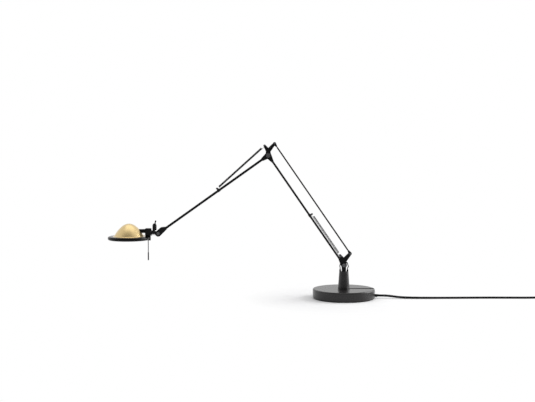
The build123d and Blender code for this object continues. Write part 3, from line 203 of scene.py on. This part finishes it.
def turned(name, centre, axis, profile, sides):
    """Solid of revolution: P(i, a) = centre + along_i axis + out_i (cos(a) p + sin(a) q).

    profile is a closed loop of (out, along). The axis is a unit vector square to Y, and p and q stand square
    to it.
    """
    p = np.cross(axis, FRONT)
    q = np.cross(axis, p)
    a = np.linspace(0, 2 * np.pi, sides, endpoint=False)[None, :, None]
    out, along = profile[:, 0][:, None, None], profile[:, 1][:, None, None]
    ring = np.cos(a) * p + np.sin(a) * q
    return surface(name, centre + along * axis + out * ring, close_u=True, close_v=True)


# ---------------------------------------------------------------------------------------------------------
# Finishes
# ---------------------------------------------------------------------------------------------------------
NOISE_RANGE = (0.3, 0.7)    # where most of a noise's values lie
EVEN = (1, 1, 1)            # scales of the place in a noise: a large one packs its marks along that axis
TURNED_X = (30, 1, 1)
TURNED_Z = (1, 1, 30)
SPUN = (0.02, 0.02, 6.0)


def add_node(tree, kind, inputs, **settings):
    """New node with these settings and inputs; an input given as another node's socket is linked to it."""
    made = tree.nodes.new(kind)
    for key, value in settings.items():
        setattr(made, key, value)
    for key, value in inputs.items():
        if isinstance(value, bpy.types.NodeSocket):
            tree.links.new(value, made.inputs[key])
        else:
            made.inputs[key].default_value = value
    return made


class Finish:
    """A node material on a Principled shader, with small helpers for its texture nodes."""

    def __init__(self, name, tone, metallic=0.0, roughness=0.5, specular=0.5):
        self.material = bpy.data.materials.new(name)
        self.material.use_nodes = True
        self.tree = self.material.node_tree
        self.shader = self.tree.nodes["Principled BSDF"]
        self.colour = tone
        self.set("Base Color", (*tone, 1.0))
        self.set("Metallic", metallic)
        self.set("Roughness", roughness)
        self.set("IOR", 1.5)
        self.set("Specular IOR Level", specular)
        self.place = self.node("ShaderNodeTexCoord", {}).outputs["Object"]

    def set(self, key, value):
        self.shader.inputs[key].default_value = value

    def node(self, kind, inputs, **settings):
        return add_node(self.tree, kind, inputs, **settings)

    def link(self, source, target):
        self.tree.links.new(source, target)

    def noise(self, scale, detail, rough=0.5, stretch=None):
        """Noise over the object's own coordinates, scaled along each axis by the stretch."""
        place = self.place
        if stretch:
            place = self.node("ShaderNodeMapping", {"Vector": place, "Scale": stretch}).outputs["Vector"]
        return self.node("ShaderNodeTexNoise", {"Vector": place, "Scale": scale, "Detail": detail,
                                                "Roughness": rough}).outputs["Fac"]

    def spread(self, source, low, high, start=NOISE_RANGE[0], end=NOISE_RANGE[1]):
        """Value that goes from low to high as the source goes from start to end."""
        return self.node("ShaderNodeMapRange", {"Value": source, "From Min": start, "From Max": end,
                                                "To Min": low, "To Max": high}).outputs["Result"]

    def shade(self, source, dark, light):
        """Colour between dark and light shares of the finish's own colour, as the source goes up."""
        ramp = self.node("ShaderNodeValToRGB", {"Fac": source})
        for element, position, share in zip(ramp.color_ramp.elements, NOISE_RANGE, (dark, light)):
            element.position = position
            element.color = (*(min(1.0, c * share) for c in self.colour), 1.0)
        self.link(ramp.outputs["Color"], self.shader.inputs["Base Color"])

    def rough(self, source, low, high):
        """Roughness between low and high, as the source goes up."""
        self.link(self.spread(source, low, high), self.shader.inputs["Roughness"])

    def bump(self, source, height, strength=1.0):
        """Bump of the given height in metres."""
        made = self.node("ShaderNodeBump", {"Height": source, "Distance": height, "Strength": strength})
        self.link(made.outputs["Normal"], self.shader.inputs["Normal"])


def powder_coat():
    """Fine textured powder coat: two noises give the orange peel and the grit."""
    finish = Finish("base_paint", colours().base_paint, roughness=0.28, specular=0.42)
    finish.shade(finish.noise(scale=1500.0, detail=2.0), dark=0.72, light=1.35)
    finish.rough(finish.noise(scale=420.0, detail=3.0), low=0.22, high=0.34)
    finish.bump(finish.noise(scale=1300.0, detail=2.0), height=0.08 * MM, strength=0.4)
    return finish.material


def satin_paint(name, tone, rough=(0.30, 0.42), specular=0.12):
    """Satin paint with a slight unevenness and soft wear."""
    finish = Finish(name, tone, roughness=rough[0], specular=specular)
    finish.shade(finish.noise(scale=60.0, detail=5.0), dark=0.8, light=1.25)
    finish.rough(finish.noise(scale=260.0, detail=4.0), *rough)
    finish.bump(finish.noise(scale=700.0, detail=2.0), height=0.04 * MM, strength=0.5)
    return finish.material


def moulded(name, tone, rough=(0.34, 0.46), grain=0.05 * MM, specular=0.15):
    """Moulded plastic or rubber with a spark-eroded grain."""
    finish = Finish(name, tone, roughness=rough[0], specular=specular)
    finish.shade(finish.noise(scale=90.0, detail=3.0), dark=0.85, light=1.2)
    finish.rough(finish.noise(scale=500.0, detail=3.0), *rough)
    finish.bump(finish.noise(scale=2400.0, detail=2.0), height=grain, strength=0.6)
    return finish.material


def banded(name, tone, scale, height, rough=(0.5, 0.65)):
    """Rubber or strap with fine raised bands along Z, with painted shade in the grooves between them and
    painted light on their crests.
    """
    finish = Finish(name, tone, roughness=rough[0], specular=0.15)
    wave = finish.node("ShaderNodeTexWave", {"Vector": finish.place, "Scale": scale}, wave_type="BANDS",
                       bands_direction="Z").outputs["Fac"]
    # painted shade and light: the colour follows the bands, darker in the grooves and lighter on the crests
    finish.shade(wave, dark=0.7, light=1.4)
    finish.rough(finish.noise(scale=500.0, detail=3.0), *rough)
    finish.bump(wave, height)
    return finish.material


def hammered_metal(name, tone):
    """Bright reflector sheet with small facets, the cells of a Voronoi pattern."""
    finish = Finish(name, tone, metallic=1.0, roughness=0.1)
    cells = finish.node("ShaderNodeTexVoronoi",
                        {"Vector": finish.place, "Scale": 170.0}).outputs["Distance"]
    finish.shade(finish.noise(scale=300.0, detail=2.0), dark=0.95, light=1.02)
    finish.rough(cells, low=0.08, high=0.16)
    finish.bump(cells, height=0.6 * MM, strength=0.6)
    return finish.material


def drawn_metal(name, tone, rough=(0.22, 0.38), stretch=TURNED_Z):
    """Turned or drawn metal: noise stretched along one axis gives fine tool marks."""
    finish = Finish(name, tone, metallic=1.0)
    marks = finish.noise(scale=900.0, detail=4.0, rough=0.6, stretch=stretch)
    finish.shade(marks, dark=0.82, light=1.1)
    finish.rough(marks, *rough)
    finish.bump(marks, height=0.03 * MM, strength=0.35)
    return finish.material


def spun_brass(name, tone):
    """Satin brass with faint spinning marks under a thin lacquer."""
    finish = Finish(name, tone, metallic=1.0, roughness=0.3)
    marks = finish.noise(scale=300.0, detail=3.0, rough=0.6, stretch=SPUN)
    finish.shade(marks, dark=0.93, light=1.04)
    finish.rough(marks, low=0.28, high=0.38)
    finish.bump(marks, height=0.02 * MM, strength=0.3)
    finish.set("Coat Weight", 0.5)
    finish.set("Coat Roughness", 0.2)
    return finish.material


def clear_glass(name, tone):
    """Clear glass with a faint waviness."""
    finish = Finish(name, tone, roughness=0.03)
    finish.set("Transmission Weight", 1.0)
    finish.bump(finish.noise(scale=120.0, detail=2.0), height=0.02 * MM, strength=0.4)
    finish.shade(finish.noise(scale=40.0, detail=2.0), dark=0.97, light=1.0)
    return finish.material


def wear(material, *nodes):
    """Gives CAD nodes this finish."""
    for name in nodes:
        slots = frame["nodes"][name].data.materials
        slots.clear()
        slots.append(material)


# ---------------------------------------------------------------------------------------------------------
# Springs
# ---------------------------------------------------------------------------------------------------------
STUD_HOOK = (310.0, 90.0)   # degrees from the hook's open end to the straight wire, round the yoke's stud
CLIP_HOOK = (90.0, -130.0)  # and from the straight wire to the open end, round the clip's stud
HOOK_POINTS = 26
NECK_POINTS = 12            # of a hook's straight wire, with its two ends
CURL_POINTS = 22
WIRE_SIDES = 8
STAY = 0.02                 # share of the way to the clip up to which the wire stays with the yoke
CUTS = (0.12, 0.34)         # shares of the way where the stretches meet
IN_PLANE = RIGHT + UP       # leaves out a vector's part along the pivots


def spring_path(anchor, clip, radius, springs, step):
    """Centre line of an extension spring from the yoke's stud to the clip's stud, and its side vectors.

    In the spring's own frame u runs from the anchor to the clip, w is to the front and v = w x u. A hook is
    an arc of the coil's radius round each stud in the u-v plane. The curls are the helix
    u = start + pitch k, v = r cos(2 pi k), w = r sin(2 pi k), with k the number of the curl. The straight
    wire between hook and curls runs at v = r, and its side vector turns evenly from w to v.
    """
    span = np.linalg.norm(clip - anchor)
    u = (clip - anchor) / span
    w = FRONT
    v = np.cross(w, u)
    start, end = springs.hook_long, span - springs.hook_short
    curls = round((end - start) / step)

    def place(along, out, fore):
        return anchor + np.outer(along, u) + np.outer(out, v) + np.outer(fore, w)

    turn = np.radians(np.linspace(*STUD_HOOK, HOOK_POINTS))
    first = place(radius * np.cos(turn), radius * np.sin(turn), 0 * turn)
    turn = np.radians(np.linspace(*CLIP_HOOK, HOOK_POINTS))
    last = place(span + radius * np.cos(turn), radius * np.sin(turn), 0 * turn)
    flat = np.tile(w, (HOOK_POINTS, 1))

    k = np.linspace(0, curls, curls * CURL_POINTS + 1)
    helix = place(start + (end - start) * k / curls, radius * np.cos(2 * np.pi * k),
                  radius * np.sin(2 * np.pi * k))
    helix_side = np.outer(np.cos(2 * np.pi * k), v) + np.outer(np.sin(2 * np.pi * k), w)

    share = np.linspace(0, 1, NECK_POINTS)[1:-1]
    ease = 0.5 * np.pi * (1 - share)
    neck = np.outer(np.cos(ease), v) + np.outer(np.sin(ease), w)
    lead = place(start * share, radius + 0 * share, 0 * share)
    tail = place(end + (span - end) * share, radius + 0 * share, 0 * share)
    return (np.vstack([first, lead, helix, tail, last]),
            np.vstack([flat, neck, helix_side, neck[::-1], flat]))


def blend_share(along, near, far):
    """Share of the arm's turn that a point takes, at this share of the way from the stud to the clip.

    near and far are the studs' distances from the arm's pivot. With this share, w = s far / ((1 - s) near
    + s far), points on the line between the studs stay on the line between them as the arm tilts.
    """
    return along * far / ((1 - along) * near + along * far)


def wind_spring(name, node, joint, arm_end, radius, step, material):
    """A spring of closed curls, in three tube pieces that meet at the cuts.

    The blend shares that each stretch's ends would take as the arm tilts are worked out, but nothing makes
    the stretches follow the arm.
    """
    springs = bpy.context.scene.lamp_springs
    centre = pivot[joint]
    stud_low, stud_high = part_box(f"spring_stud_{name}")
    spring_low, spring_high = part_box(node)
    plane_y = (spring_low[1] + spring_high[1]) / 2
    anchor = np.array([(stud_low[0] + stud_high[0]) / 2, plane_y, (stud_low[2] + stud_high[2]) / 2])
    arm = unit(arm_end - centre)
    across = np.cross(arm, FRONT)
    across *= np.sign(across @ UP)
    clip = centre + springs.clip_along * arm + springs.clip_offset * across
    clip[1] = plane_y
    path, side = spring_path(anchor, clip, radius, springs, step)
    span = np.linalg.norm(clip - anchor)
    u = (clip - anchor) / span
    near = np.linalg.norm((anchor - centre) * IN_PLANE)
    far = np.linalg.norm((clip - centre) * IN_PLANE)
    share = (path - anchor) @ u / span
    ends = [0, *(int(np.argmax(share > cut)) for cut in CUTS), len(path) - 1]
    marks = [(STAY, 0.0), *((cut, blend_share(cut, near, far)) for cut in CUTS), (1.0, 1.0)]
    for part in range(len(marks) - 1):
        stretch = slice(ends[part], ends[part + 1] + 1)
        piece = tube(f"{node}_{part + 1}", path[stretch], side[stretch], springs.wire_radius, WIRE_SIDES)
        piece.data.materials.append(material)
        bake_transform(piece)
        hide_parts(node)


# ---------------------------------------------------------------------------------------------------------
# Turned pieces
# ---------------------------------------------------------------------------------------------------------
GLAND_BORE = 0.8 * MM       # radius of the hole
GLAND_BEVEL = 0.4 * MM
GLAND_FREE = 9.0 * MM       # length of the ribbed end
GLAND_WALL = 0.6 * MM       # of the tip, round the cord
GLAND_RIBS = 4
RIB_DEPTH = 0.5 * MM
RIB_POINTS = 14
GLAND_SIDES = 48

FLARE_LOW = 1.2 * MM        # the flare's inner edge lies on the bowl's side at this height over the ring
FLARE_HIGH = 1.5 * MM       # height of its upper face there
FLARE_FALL = 1.3 * MM
FLARE_POINTS = 14
LIP_INSET = 0.1 * MM        # of the flare's outer edge from the dome's foot
LIP_SHEET = 0.6 * MM        # thickness
LIP_SIDES = 96
ROLL_RADIUS = 0.6 * MM
ROLL_INSET = 0.3 * MM       # middle of the roll, inwards from the outer edge and down from the ring's top
ROLL_ARC = (60, -80)        # degrees
ROLL_POINTS = 7


def ribbed_gland(cord_radius):
    """Cord gland: a plain shank in the base and four ribs on the free end, which thins towards the cord.

    The free end's radius falls evenly from the shank's to the cord's and its wall, less the ribs'
    (1 - cos(2 pi k)) / 2 times their depth, with k the number of the rib.
    """
    low, high = np.array(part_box("cord_gland"))
    span, shank = high[0] - low[0], (high[2] - low[2]) / 2
    share = np.linspace(0, 1, RIB_POINTS * GLAND_RIBS + 1)
    taper = shank - (shank - cord_radius - GLAND_WALL) * share
    groove = RIB_DEPTH * (1 - np.cos(2 * np.pi * GLAND_RIBS * share)) / 2
    ribs = np.stack([taper - groove, span - GLAND_FREE + GLAND_FREE * share], axis=1)
    loop = np.vstack([[(GLAND_BORE, 0.0), (shank - GLAND_BEVEL, 0.0), (shank, GLAND_BEVEL)], ribs,
                      [(GLAND_BORE, span)]])
    centre = np.array([low[0], (low[1] + high[1]) / 2, (low[2] + high[2]) / 2])
    return turned("ribbed_gland", centre, RIGHT, loop, GLAND_SIDES)


def dome_lip():
    """Flared foot of the dome: a thin sheet that curves out from the bowl to the rim ring, then rolls down.

    The bowl's radius at a height h is taken as foot sqrt(1 - h / tall). The sheet's upper face goes down by
    a quarter of a sine from the bowl's side out to the roll, its lower face runs a sheet's thickness below,
    and the roll is an arc.
    """
    low, high = np.array(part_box("dome"))
    foot, tall = (high[0] - low[0]) / 2, high[2] - low[2]
    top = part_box("shade_ring")[1][2] - low[2]
    bowl = foot * math.sqrt(1 - (top + FLARE_LOW) / tall)
    edge = foot - LIP_INSET
    share = np.linspace(0, 1, FLARE_POINTS)
    sheet = np.stack([bowl + (edge - bowl) * share,
                      top + FLARE_HIGH - FLARE_FALL * np.sin(share * np.pi / 2)], axis=1)
    turn = np.radians(np.linspace(*ROLL_ARC, ROLL_POINTS))
    roll = np.stack([edge - ROLL_INSET + ROLL_RADIUS * np.cos(turn),
                     top - ROLL_INSET + ROLL_RADIUS * np.sin(turn)], axis=1)
    under = sheet[::-1] - np.array([0.0, LIP_SHEET])
    loop = np.vstack([sheet[:-1], roll, under[1:]])
    centre = np.array([(low[0] + high[0]) / 2, 0.0, low[2]])
    return turned("dome_lip", centre, UP, loop, LIP_SIDES)


# ---------------------------------------------------------------------------------------------------------
# Mains cord
# ---------------------------------------------------------------------------------------------------------
# control points before and after the coil, in millimetres
RUN_ROUTE = [
    (93, 0, 7.2), (109, 0, 7.2), (127, -2.4, 6.0), (150, -7.6, 3.5), (180, -12, 3.0), (220, -15, 3.0),
    (270, -15.8, 3.0), (328, -13.4, 3.0), (390, -11.2, 3.0), (448, -12.4, 3.0), (503, -14.8, 3.2),
    (548, -13, 4.2),
]
TAIL_ROUTE = [
    (600, -9.65, 10.9), (619, -5.6, 9.8), (635, 5, 5.4), (644.5, 21, 3.0), (647.5, 38, 4.0),
    (648, 54, 6.7), (648, 68, 6.7),
]
COIL_TURNS_IN = 3.0
COIL_TURNS_BACK = 0.5       # in which the spiral reverses
COIL_TURNS_OUT = 2.5
COIL_POINTS = 16            # control points to a turn
CORD_ORDER = 3              # of the spline
CORD_STEPS = 8              # stretches of the mesh to a control point
CORD_ROUND = 5              # Blender's bevel resolution: more gives the section more sides


def coil_route(cord):
    """Control points of the coil.

    The lower layer spirals in at a steady rate, the spiral reverses and climbs a layer in half a turn, and
    the upper layer spirals out at the same rate. Over the reversal, with b going from 0 to 1, the step
    inwards is COIL_TURNS_BACK b (1 - b), which meets both rates. A spline of order 3 runs inside its
    points, so they stand out by 2 / (1 + cos(pi / n)), with n points to a turn.
    """
    turns = COIL_TURNS_IN + COIL_TURNS_BACK + COIL_TURNS_OUT
    turn = np.arange(0, int(turns * COIL_POINTS) + 1) / COIL_POINTS
    back = np.clip(turn - COIL_TURNS_IN, 0, COIL_TURNS_BACK) / COIL_TURNS_BACK
    out = np.clip(turn - COIL_TURNS_IN - COIL_TURNS_BACK, 0, None)
    inward = np.clip(turn, None, COIL_TURNS_IN)
    radius = cord.coil_outer - cord.coil_step * (inward + COIL_TURNS_BACK * back * (1 - back) - out)
    height = cord.coil_floor + cord.coil_layer * (1 - np.cos(np.pi * back)) / 2
    radius = radius * 2 / (1 + math.cos(math.pi / COIL_POINTS))
    angle = 2 * np.pi * turn - np.pi / 2
    return np.stack([cord.coil_x + radius * np.cos(angle), cord.coil_y + radius * np.sin(angle), height],
                    axis=1)


def lay_cord(cord, material):
    """The free cord: one smooth spline from the gland, along the table, round the coil and to the plug."""
    route = np.vstack([np.array(RUN_ROUTE) * MM, coil_route(cord), np.array(TAIL_ROUTE) * MM])
    curve = bpy.data.curves.new("mains_cord", "CURVE")
    curve.dimensions = "3D"
    curve.resolution_u = CORD_STEPS
    curve.bevel_depth = cord.cord_radius
    curve.bevel_resolution = CORD_ROUND
    curve.use_fill_caps = True
    spline = curve.splines.new("NURBS")
    spline.points.add(len(route) - 1)
    spline.points.foreach_set("co", np.hstack([route, np.ones((len(route), 1))]).ravel())
    spline.order_u = CORD_ORDER
    spline.use_endpoint_u = True
    piece = bpy.data.objects.new("mains_cord", curve)
    bpy.context.scene.collection.objects.link(piece)
    curve.materials.append(material)
    return piece


# ---------------------------------------------------------------------------------------------------------
# Studio
# ---------------------------------------------------------------------------------------------------------
CAMERA_X = -0.2066
CAMERA_DISTANCE = 2.70
CAMERA_HEIGHT = 0.42
AIM_HEIGHT = 0.2636         # of the point over Y = 0 that the camera looks at
LENS_MM = 67.5
SENSOR_MM = 36.0
PAPER_WHITE = (0.90, 0.90, 0.90)
FLOOR_HALF = 6.0
FLOOR_DROP = 0.2 * MM       # of the paper under the lamp's foot
FLOOR_FADE = (0.16, 0.27)   # metres from the lamp's foot between which the shadow fades out
FLOOR_LIFT = 0.03           # light of the paper's own
FILL = 0.62                 # brightness of the surroundings
FILL_BLUE = 1.01            # and of their blue, as a share of it
FRONT_DARK = 0.10           # brightness of the front in reflections
FRONT_TURN = (-0.85, 0.05)  # Y of a ray's direction from the dark front to the white back
LIGHTS = {                  # place, target, size and watts
    "key": ((2.4, 0.5, 1.05), (0.0, 0.0, 0.2), (2.0, 2.0), 66.0),
    "top": ((-0.3, 0.4, 3.0), (-0.3, 0.0, 0.1), (3.0, 2.4), 17.0),
}


def area_light(name, place, target, size, power):
    """Rectangular softbox at a place, turned to a target."""
    light = bpy.data.lights.new(name, "AREA")
    light.shape = "RECTANGLE"
    light.size, light.size_y = size
    light.energy = power
    obj = bpy.data.objects.new(name, light)
    obj.location = place
    obj.rotation_mode = "QUATERNION"
    obj.rotation_quaternion = Vector([t - p for t, p in zip(target, place)]).to_track_quat("-Z", "Y")
    bpy.context.scene.collection.objects.link(obj)


def mixed(tree, factor, first, second):
    """Colour that goes from the first to the second with the factor; each is a socket or a colour."""
    return add_node(tree, "ShaderNodeMix", {"Factor": factor, "A": first, "B": second},
                    data_type="RGBA").outputs["Result"]


def studio_world():
    """Surroundings: white to the camera and through glass, and a grey fill for everything else.

    Reflections see them white at the back, the sides and the top and dark towards the front, with a smooth
    step over the Y of the ray's direction.
    """
    world = bpy.data.worlds.new("studio")
    world.use_nodes = True
    tree = world.node_tree
    direction = add_node(tree, "ShaderNodeTexCoord", {}).outputs["Generated"]
    parts = add_node(tree, "ShaderNodeSeparateXYZ", {"Vector": direction})
    front = add_node(tree, "ShaderNodeMapRange", {
        "Value": parts.outputs["Y"], "From Min": FRONT_TURN[0], "From Max": FRONT_TURN[1],
        "To Min": FRONT_DARK, "To Max": 1.0,
    }, interpolation_type="SMOOTHSTEP")
    ray = add_node(tree, "ShaderNodeLightPath", {}).outputs
    fill = mixed(tree, ray["Is Glossy Ray"], (FILL, FILL, FILL * FILL_BLUE, 1), front.outputs["Result"])
    seen = add_node(tree, "ShaderNodeMath", {0: ray["Is Camera Ray"], 1: ray["Is Transmission Ray"]},
                    operation="MAXIMUM")
    background = tree.nodes["Background"]
    tree.links.new(mixed(tree, seen.outputs["Value"], fill, (1, 1, 1, 1)), background.inputs["Color"])
    background.inputs["Strength"].default_value = 1.0
    return world


def floor_paper():
    """White paper that takes a soft shadow round the base and is evenly white beyond it.

    The share of the even white goes from 0 to 1 between two distances from the lamp's foot.
    """
    paper = Finish("floor_paper", PAPER_WHITE, roughness=0.9, specular=0.0)
    paper.shade(paper.noise(scale=3.0, detail=2.0), dark=0.995, light=1.005)
    paper.set("Emission Color", (1, 1, 1, 1))
    paper.set("Emission Strength", FLOOR_LIFT)
    reach = paper.node("ShaderNodeVectorMath", {"Vector": paper.place}, operation="LENGTH").outputs["Value"]
    even = paper.spread(reach, 0.0, 1.0, *FLOOR_FADE)
    white = paper.node("ShaderNodeEmission", {}).outputs["Emission"]
    mix = paper.node("ShaderNodeMixShader", {"Fac": even, 1: paper.shader.outputs["BSDF"], 2: white})
    paper.link(mix.outputs["Shader"], paper.tree.nodes["Material Output"].inputs["Surface"])
    return paper.material


def add_camera():
    camera = bpy.data.cameras.new("camera")
    camera.lens = LENS_MM
    camera.sensor_width = SENSOR_MM
    eye = bpy.data.objects.new("camera", camera)
    eye.location = (CAMERA_X, -CAMERA_DISTANCE, CAMERA_HEIGHT)
    tilt = math.atan((CAMERA_HEIGHT - AIM_HEIGHT) / CAMERA_DISTANCE)
    eye.rotation_euler = (math.pi / 2 - tilt, 0, 0)
    bpy.context.scene.collection.objects.link(eye)
    return eye


# ---------------------------------------------------------------------------------------------------------
# Operators
# ---------------------------------------------------------------------------------------------------------
class LampOperator(bpy.types.Operator):
    """What the lamp's operators share"""

    bl_options = {"REGISTER", "UNDO"}


class LAMP_OT_stage(LampOperator):
    """Pale floor, white surroundings, soft lights and the camera"""

    bl_idname = "lamp.stage"
    bl_label = "Studio"

    def execute(self, context):
        scene = context.scene
        scene.world = studio_world()
        corner = np.array([-FLOOR_HALF, FLOOR_HALF])
        x, y = np.meshgrid(corner, corner, indexing="ij")
        floor = surface("floor", np.stack([x, y, np.full_like(x, -FLOOR_DROP)], axis=-1))
        floor.data.materials.append(floor_paper())
        for name, values in LIGHTS.items():
            area_light(name, *values)
        scene.camera = add_camera()
        scene.view_settings.view_transform = "Standard"
        return {"FINISHED"}


class LAMP_OT_cord(LampOperator):
    """Gland, mains cord with its put-away coil, tie and plug"""

    bl_idname = "lamp.cord"
    bl_label = "Mains cord"

    def execute(self, context):
        cord = context.scene.lamp_cord
        tones = colours()
        rubber = moulded("cord_black", tones.rubber, rough=(0.42, 0.55), grain=0.03 * MM)
        gland = ribbed_gland(cord.cord_radius)
        gland.data.materials.append(rubber)
        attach(gland, "root")
        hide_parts("cord_gland")
        wear(moulded("plug_black", tones.black_plastic, rough=(0.4, 0.55), grain=0.08 * MM), "plug_body")
        wear(banded("tie_strap", STRAP_BLACK, scale=260.0, height=0.2 * MM, rough=(0.75, 0.9)), "cord_tie")
        wear(drawn_metal("contact_metal", CONTACT_METAL), "plug_pins")
        piece = lay_cord(cord, rubber)
        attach(piece, "root")
        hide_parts("cord_run", "cord_coil", "cord_tail")
        return {"FINISHED"}


class LAMP_OT_base(LampOperator):
    """Base casting, its pad and plate, the swivel and the transformer inside"""

    bl_idname = "lamp.base"
    bl_label = "Base"

    def execute(self, context):
        wear(powder_coat(), "base_casting")
        wear(moulded("pad_rubber", colours().rubber, rough=(0.7, 0.85), grain=0.1 * MM), "base_pad")
        wear(drawn_metal("plate_steel", PLATE_STEEL, rough=(0.35, 0.5), stretch=TURNED_X), "base_plate",
             "plate_screws", "spigot", "spigot_nut")
        wear(moulded("bush_plastic", BUSH_CREAM), "swivel_bush")
        wear(moulded("transformer_case", CASE_BLACK), "transformer")
        return {"FINISHED"}


class LAMP_OT_stem(LampOperator):
    """Stem, yokes, their pins, the short leads and the handle's grip"""

    bl_idname = "lamp.stem"
    bl_label = "Stem"

    def execute(self, context):
        tones = colours()
        wear(satin_paint("stem_paint", tones.base_paint, rough=(0.22, 0.32), specular=0.42), "stem")
        wear(satin_paint("yoke_paint", tones.arm_paint), "lower_yoke", "elbow_cheek_front",
             "elbow_cheek_rear")
        wear(drawn_metal("pin_steel", PIN_STEEL, rough=(0.28, 0.42)), "lower_pivot_pin",
             "tie_rod_pin_lower", "spring_stud_lower", "elbow_washers", "elbow_pin", "elbow_spacer",
             "tie_rod_pin_upper", "spring_stud_upper", "tilt_screw")
        wear(moulded("lead_black", tones.rubber), "lead_bushes", "jumper_leads", "inner_lead")
        wear(banded("grip_rubber", tones.rubber, scale=320.0, height=0.3 * MM), "handle_grip")
        return {"FINISHED"}


class LAMP_OT_arms(LampOperator):
    """Arm tubes, their fittings, the tie rod and the head's black fittings"""

    bl_idname = "lamp.arms"
    bl_label = "Arms"

    def execute(self, context):
        tones = colours()
        wear(satin_paint("arm_paint", tones.arm_paint), "lower_arm_tube", "upper_arm_tube", "tie_rod",
             "tie_rod_eyes")
        wear(moulded("fitting_plastic", tones.black_plastic), "lower_arm_foot", "lower_arm_head",
             "lower_spring_clip", "upper_arm_root", "upper_arm_tip", "upper_spring_clip", "tilt_eye",
             "roll_washer", "switch_body", "switch_lever", "head_block", "holder_arm")
        return {"FINISHED"}


class LAMP_OT_springs(LampOperator):
    """The two balance springs"""

    bl_idname = "lamp.springs"
    bl_label = "Springs"

    def execute(self, context):
        springs = context.scene.lamp_springs
        steel = colours().steel
        wind_spring("lower", "lower_spring", "lower_arm_tilt", pivot["elbow_level"], springs.lower_radius,
                    springs.lower_step,
                    drawn_metal("spring_wire", steel, rough=(0.34, 0.5), stretch=EVEN))
        # painted shade: the upper spring's wire is painted darker than the lower spring's, as it looks in
        # shade
        wind_spring("upper", "upper_spring", "upper_arm_tilt", pivot["head_tilt"], springs.upper_radius,
                    springs.upper_step,
                    drawn_metal("shaded_spring_wire", darker(steel, UPPER_SPRING_PAINTED_SHADE), rough=(0.4, 0.55),
                                stretch=EVEN))
        return {"FINISHED"}


class LAMP_OT_head(LampOperator):
    """Dome, rim ring, lens, reflector, bulb and the handle's rod"""

    bl_idname = "lamp.head"
    bl_label = "Head"

    def execute(self, context):
        tones = colours()
        brass = spun_brass("dome_brass", tones.brass)
        wear(brass, "dome")
        lip = dome_lip()
        lip.data.materials.append(brass)
        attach(lip, "head")
        wear(moulded("ring_black", RING_BLACK, rough=(0.16, 0.26), grain=0.01 * MM, specular=0.16),
             "shade_ring")
        wear(moulded("retainer_black", tones.black_plastic), "glass_retainer")
        wear(clear_glass("glass_clear", GLASS_TINT), "lens_glass", "bulb_glass")
        wear(hammered_metal("reflector_metal", REFLECTOR_SHEET), "reflector")
        wear(moulded("ceramic", CERAMIC_CREAM, rough=(0.5, 0.6)), "lamp_holder")
        wear(drawn_metal("filament_metal", FILAMENT_GREY), "bulb_filament")
        wear(drawn_metal("handle_metal", darker(tones.steel, HANDLE_SHARE), rough=(0.2, 0.3)), "handle_rod")
        wear(drawn_metal("axle_metal", AXLE_STEEL, rough=(0.25, 0.38), stretch=TURNED_X), "roll_axle")
        return {"FINISHED"}


class LAMP_PT_panel(bpy.types.Panel):
    """Sizes, colours and build steps of the lamp"""

    bl_idname = "LAMP_PT_panel"
    bl_label = "Desk lamp"
    bl_space_type = "VIEW_3D"
    bl_region_type = "UI"
    bl_category = "Desk lamp"

    def draw(self, context):
        for group in GROUPS:
            box = self.layout.box()
            settings = getattr(context.scene, group)
            for key in settings.__annotations__:
                box.prop(settings, key)
        for step in STEPS:
            self.layout.operator(step.bl_idname)


STEPS = (LAMP_OT_stage, LAMP_OT_cord, LAMP_OT_base, LAMP_OT_stem, LAMP_OT_arms, LAMP_OT_springs,
         LAMP_OT_head)
GROUPS = {"lamp_springs": LampSpringSizes, "lamp_cord": LampCordSizes, "lamp_colours": LampColours}


def register():
    for group in GROUPS.values():
        bpy.utils.register_class(group)
    for name, group in GROUPS.items():
        setattr(bpy.types.Scene, name, bpy.props.PointerProperty(type=group))
    for step in (*STEPS, LAMP_PT_panel):
        bpy.utils.register_class(step)


def unregister():
    for step in reversed((*STEPS, LAMP_PT_panel)):
        bpy.utils.unregister_class(step)
    for name in GROUPS:
        delattr(bpy.types.Scene, name)
    for group in reversed(GROUPS.values()):
        bpy.utils.unregister_class(group)


def main():
    register()
    bpy.ops.lamp.stage()
    bpy.ops.lamp.cord()
    bpy.ops.lamp.base()
    bpy.ops.lamp.stem()
    bpy.ops.lamp.arms()
    bpy.ops.lamp.springs()
    bpy.ops.lamp.head()


if __name__ == "__main__":
    main()
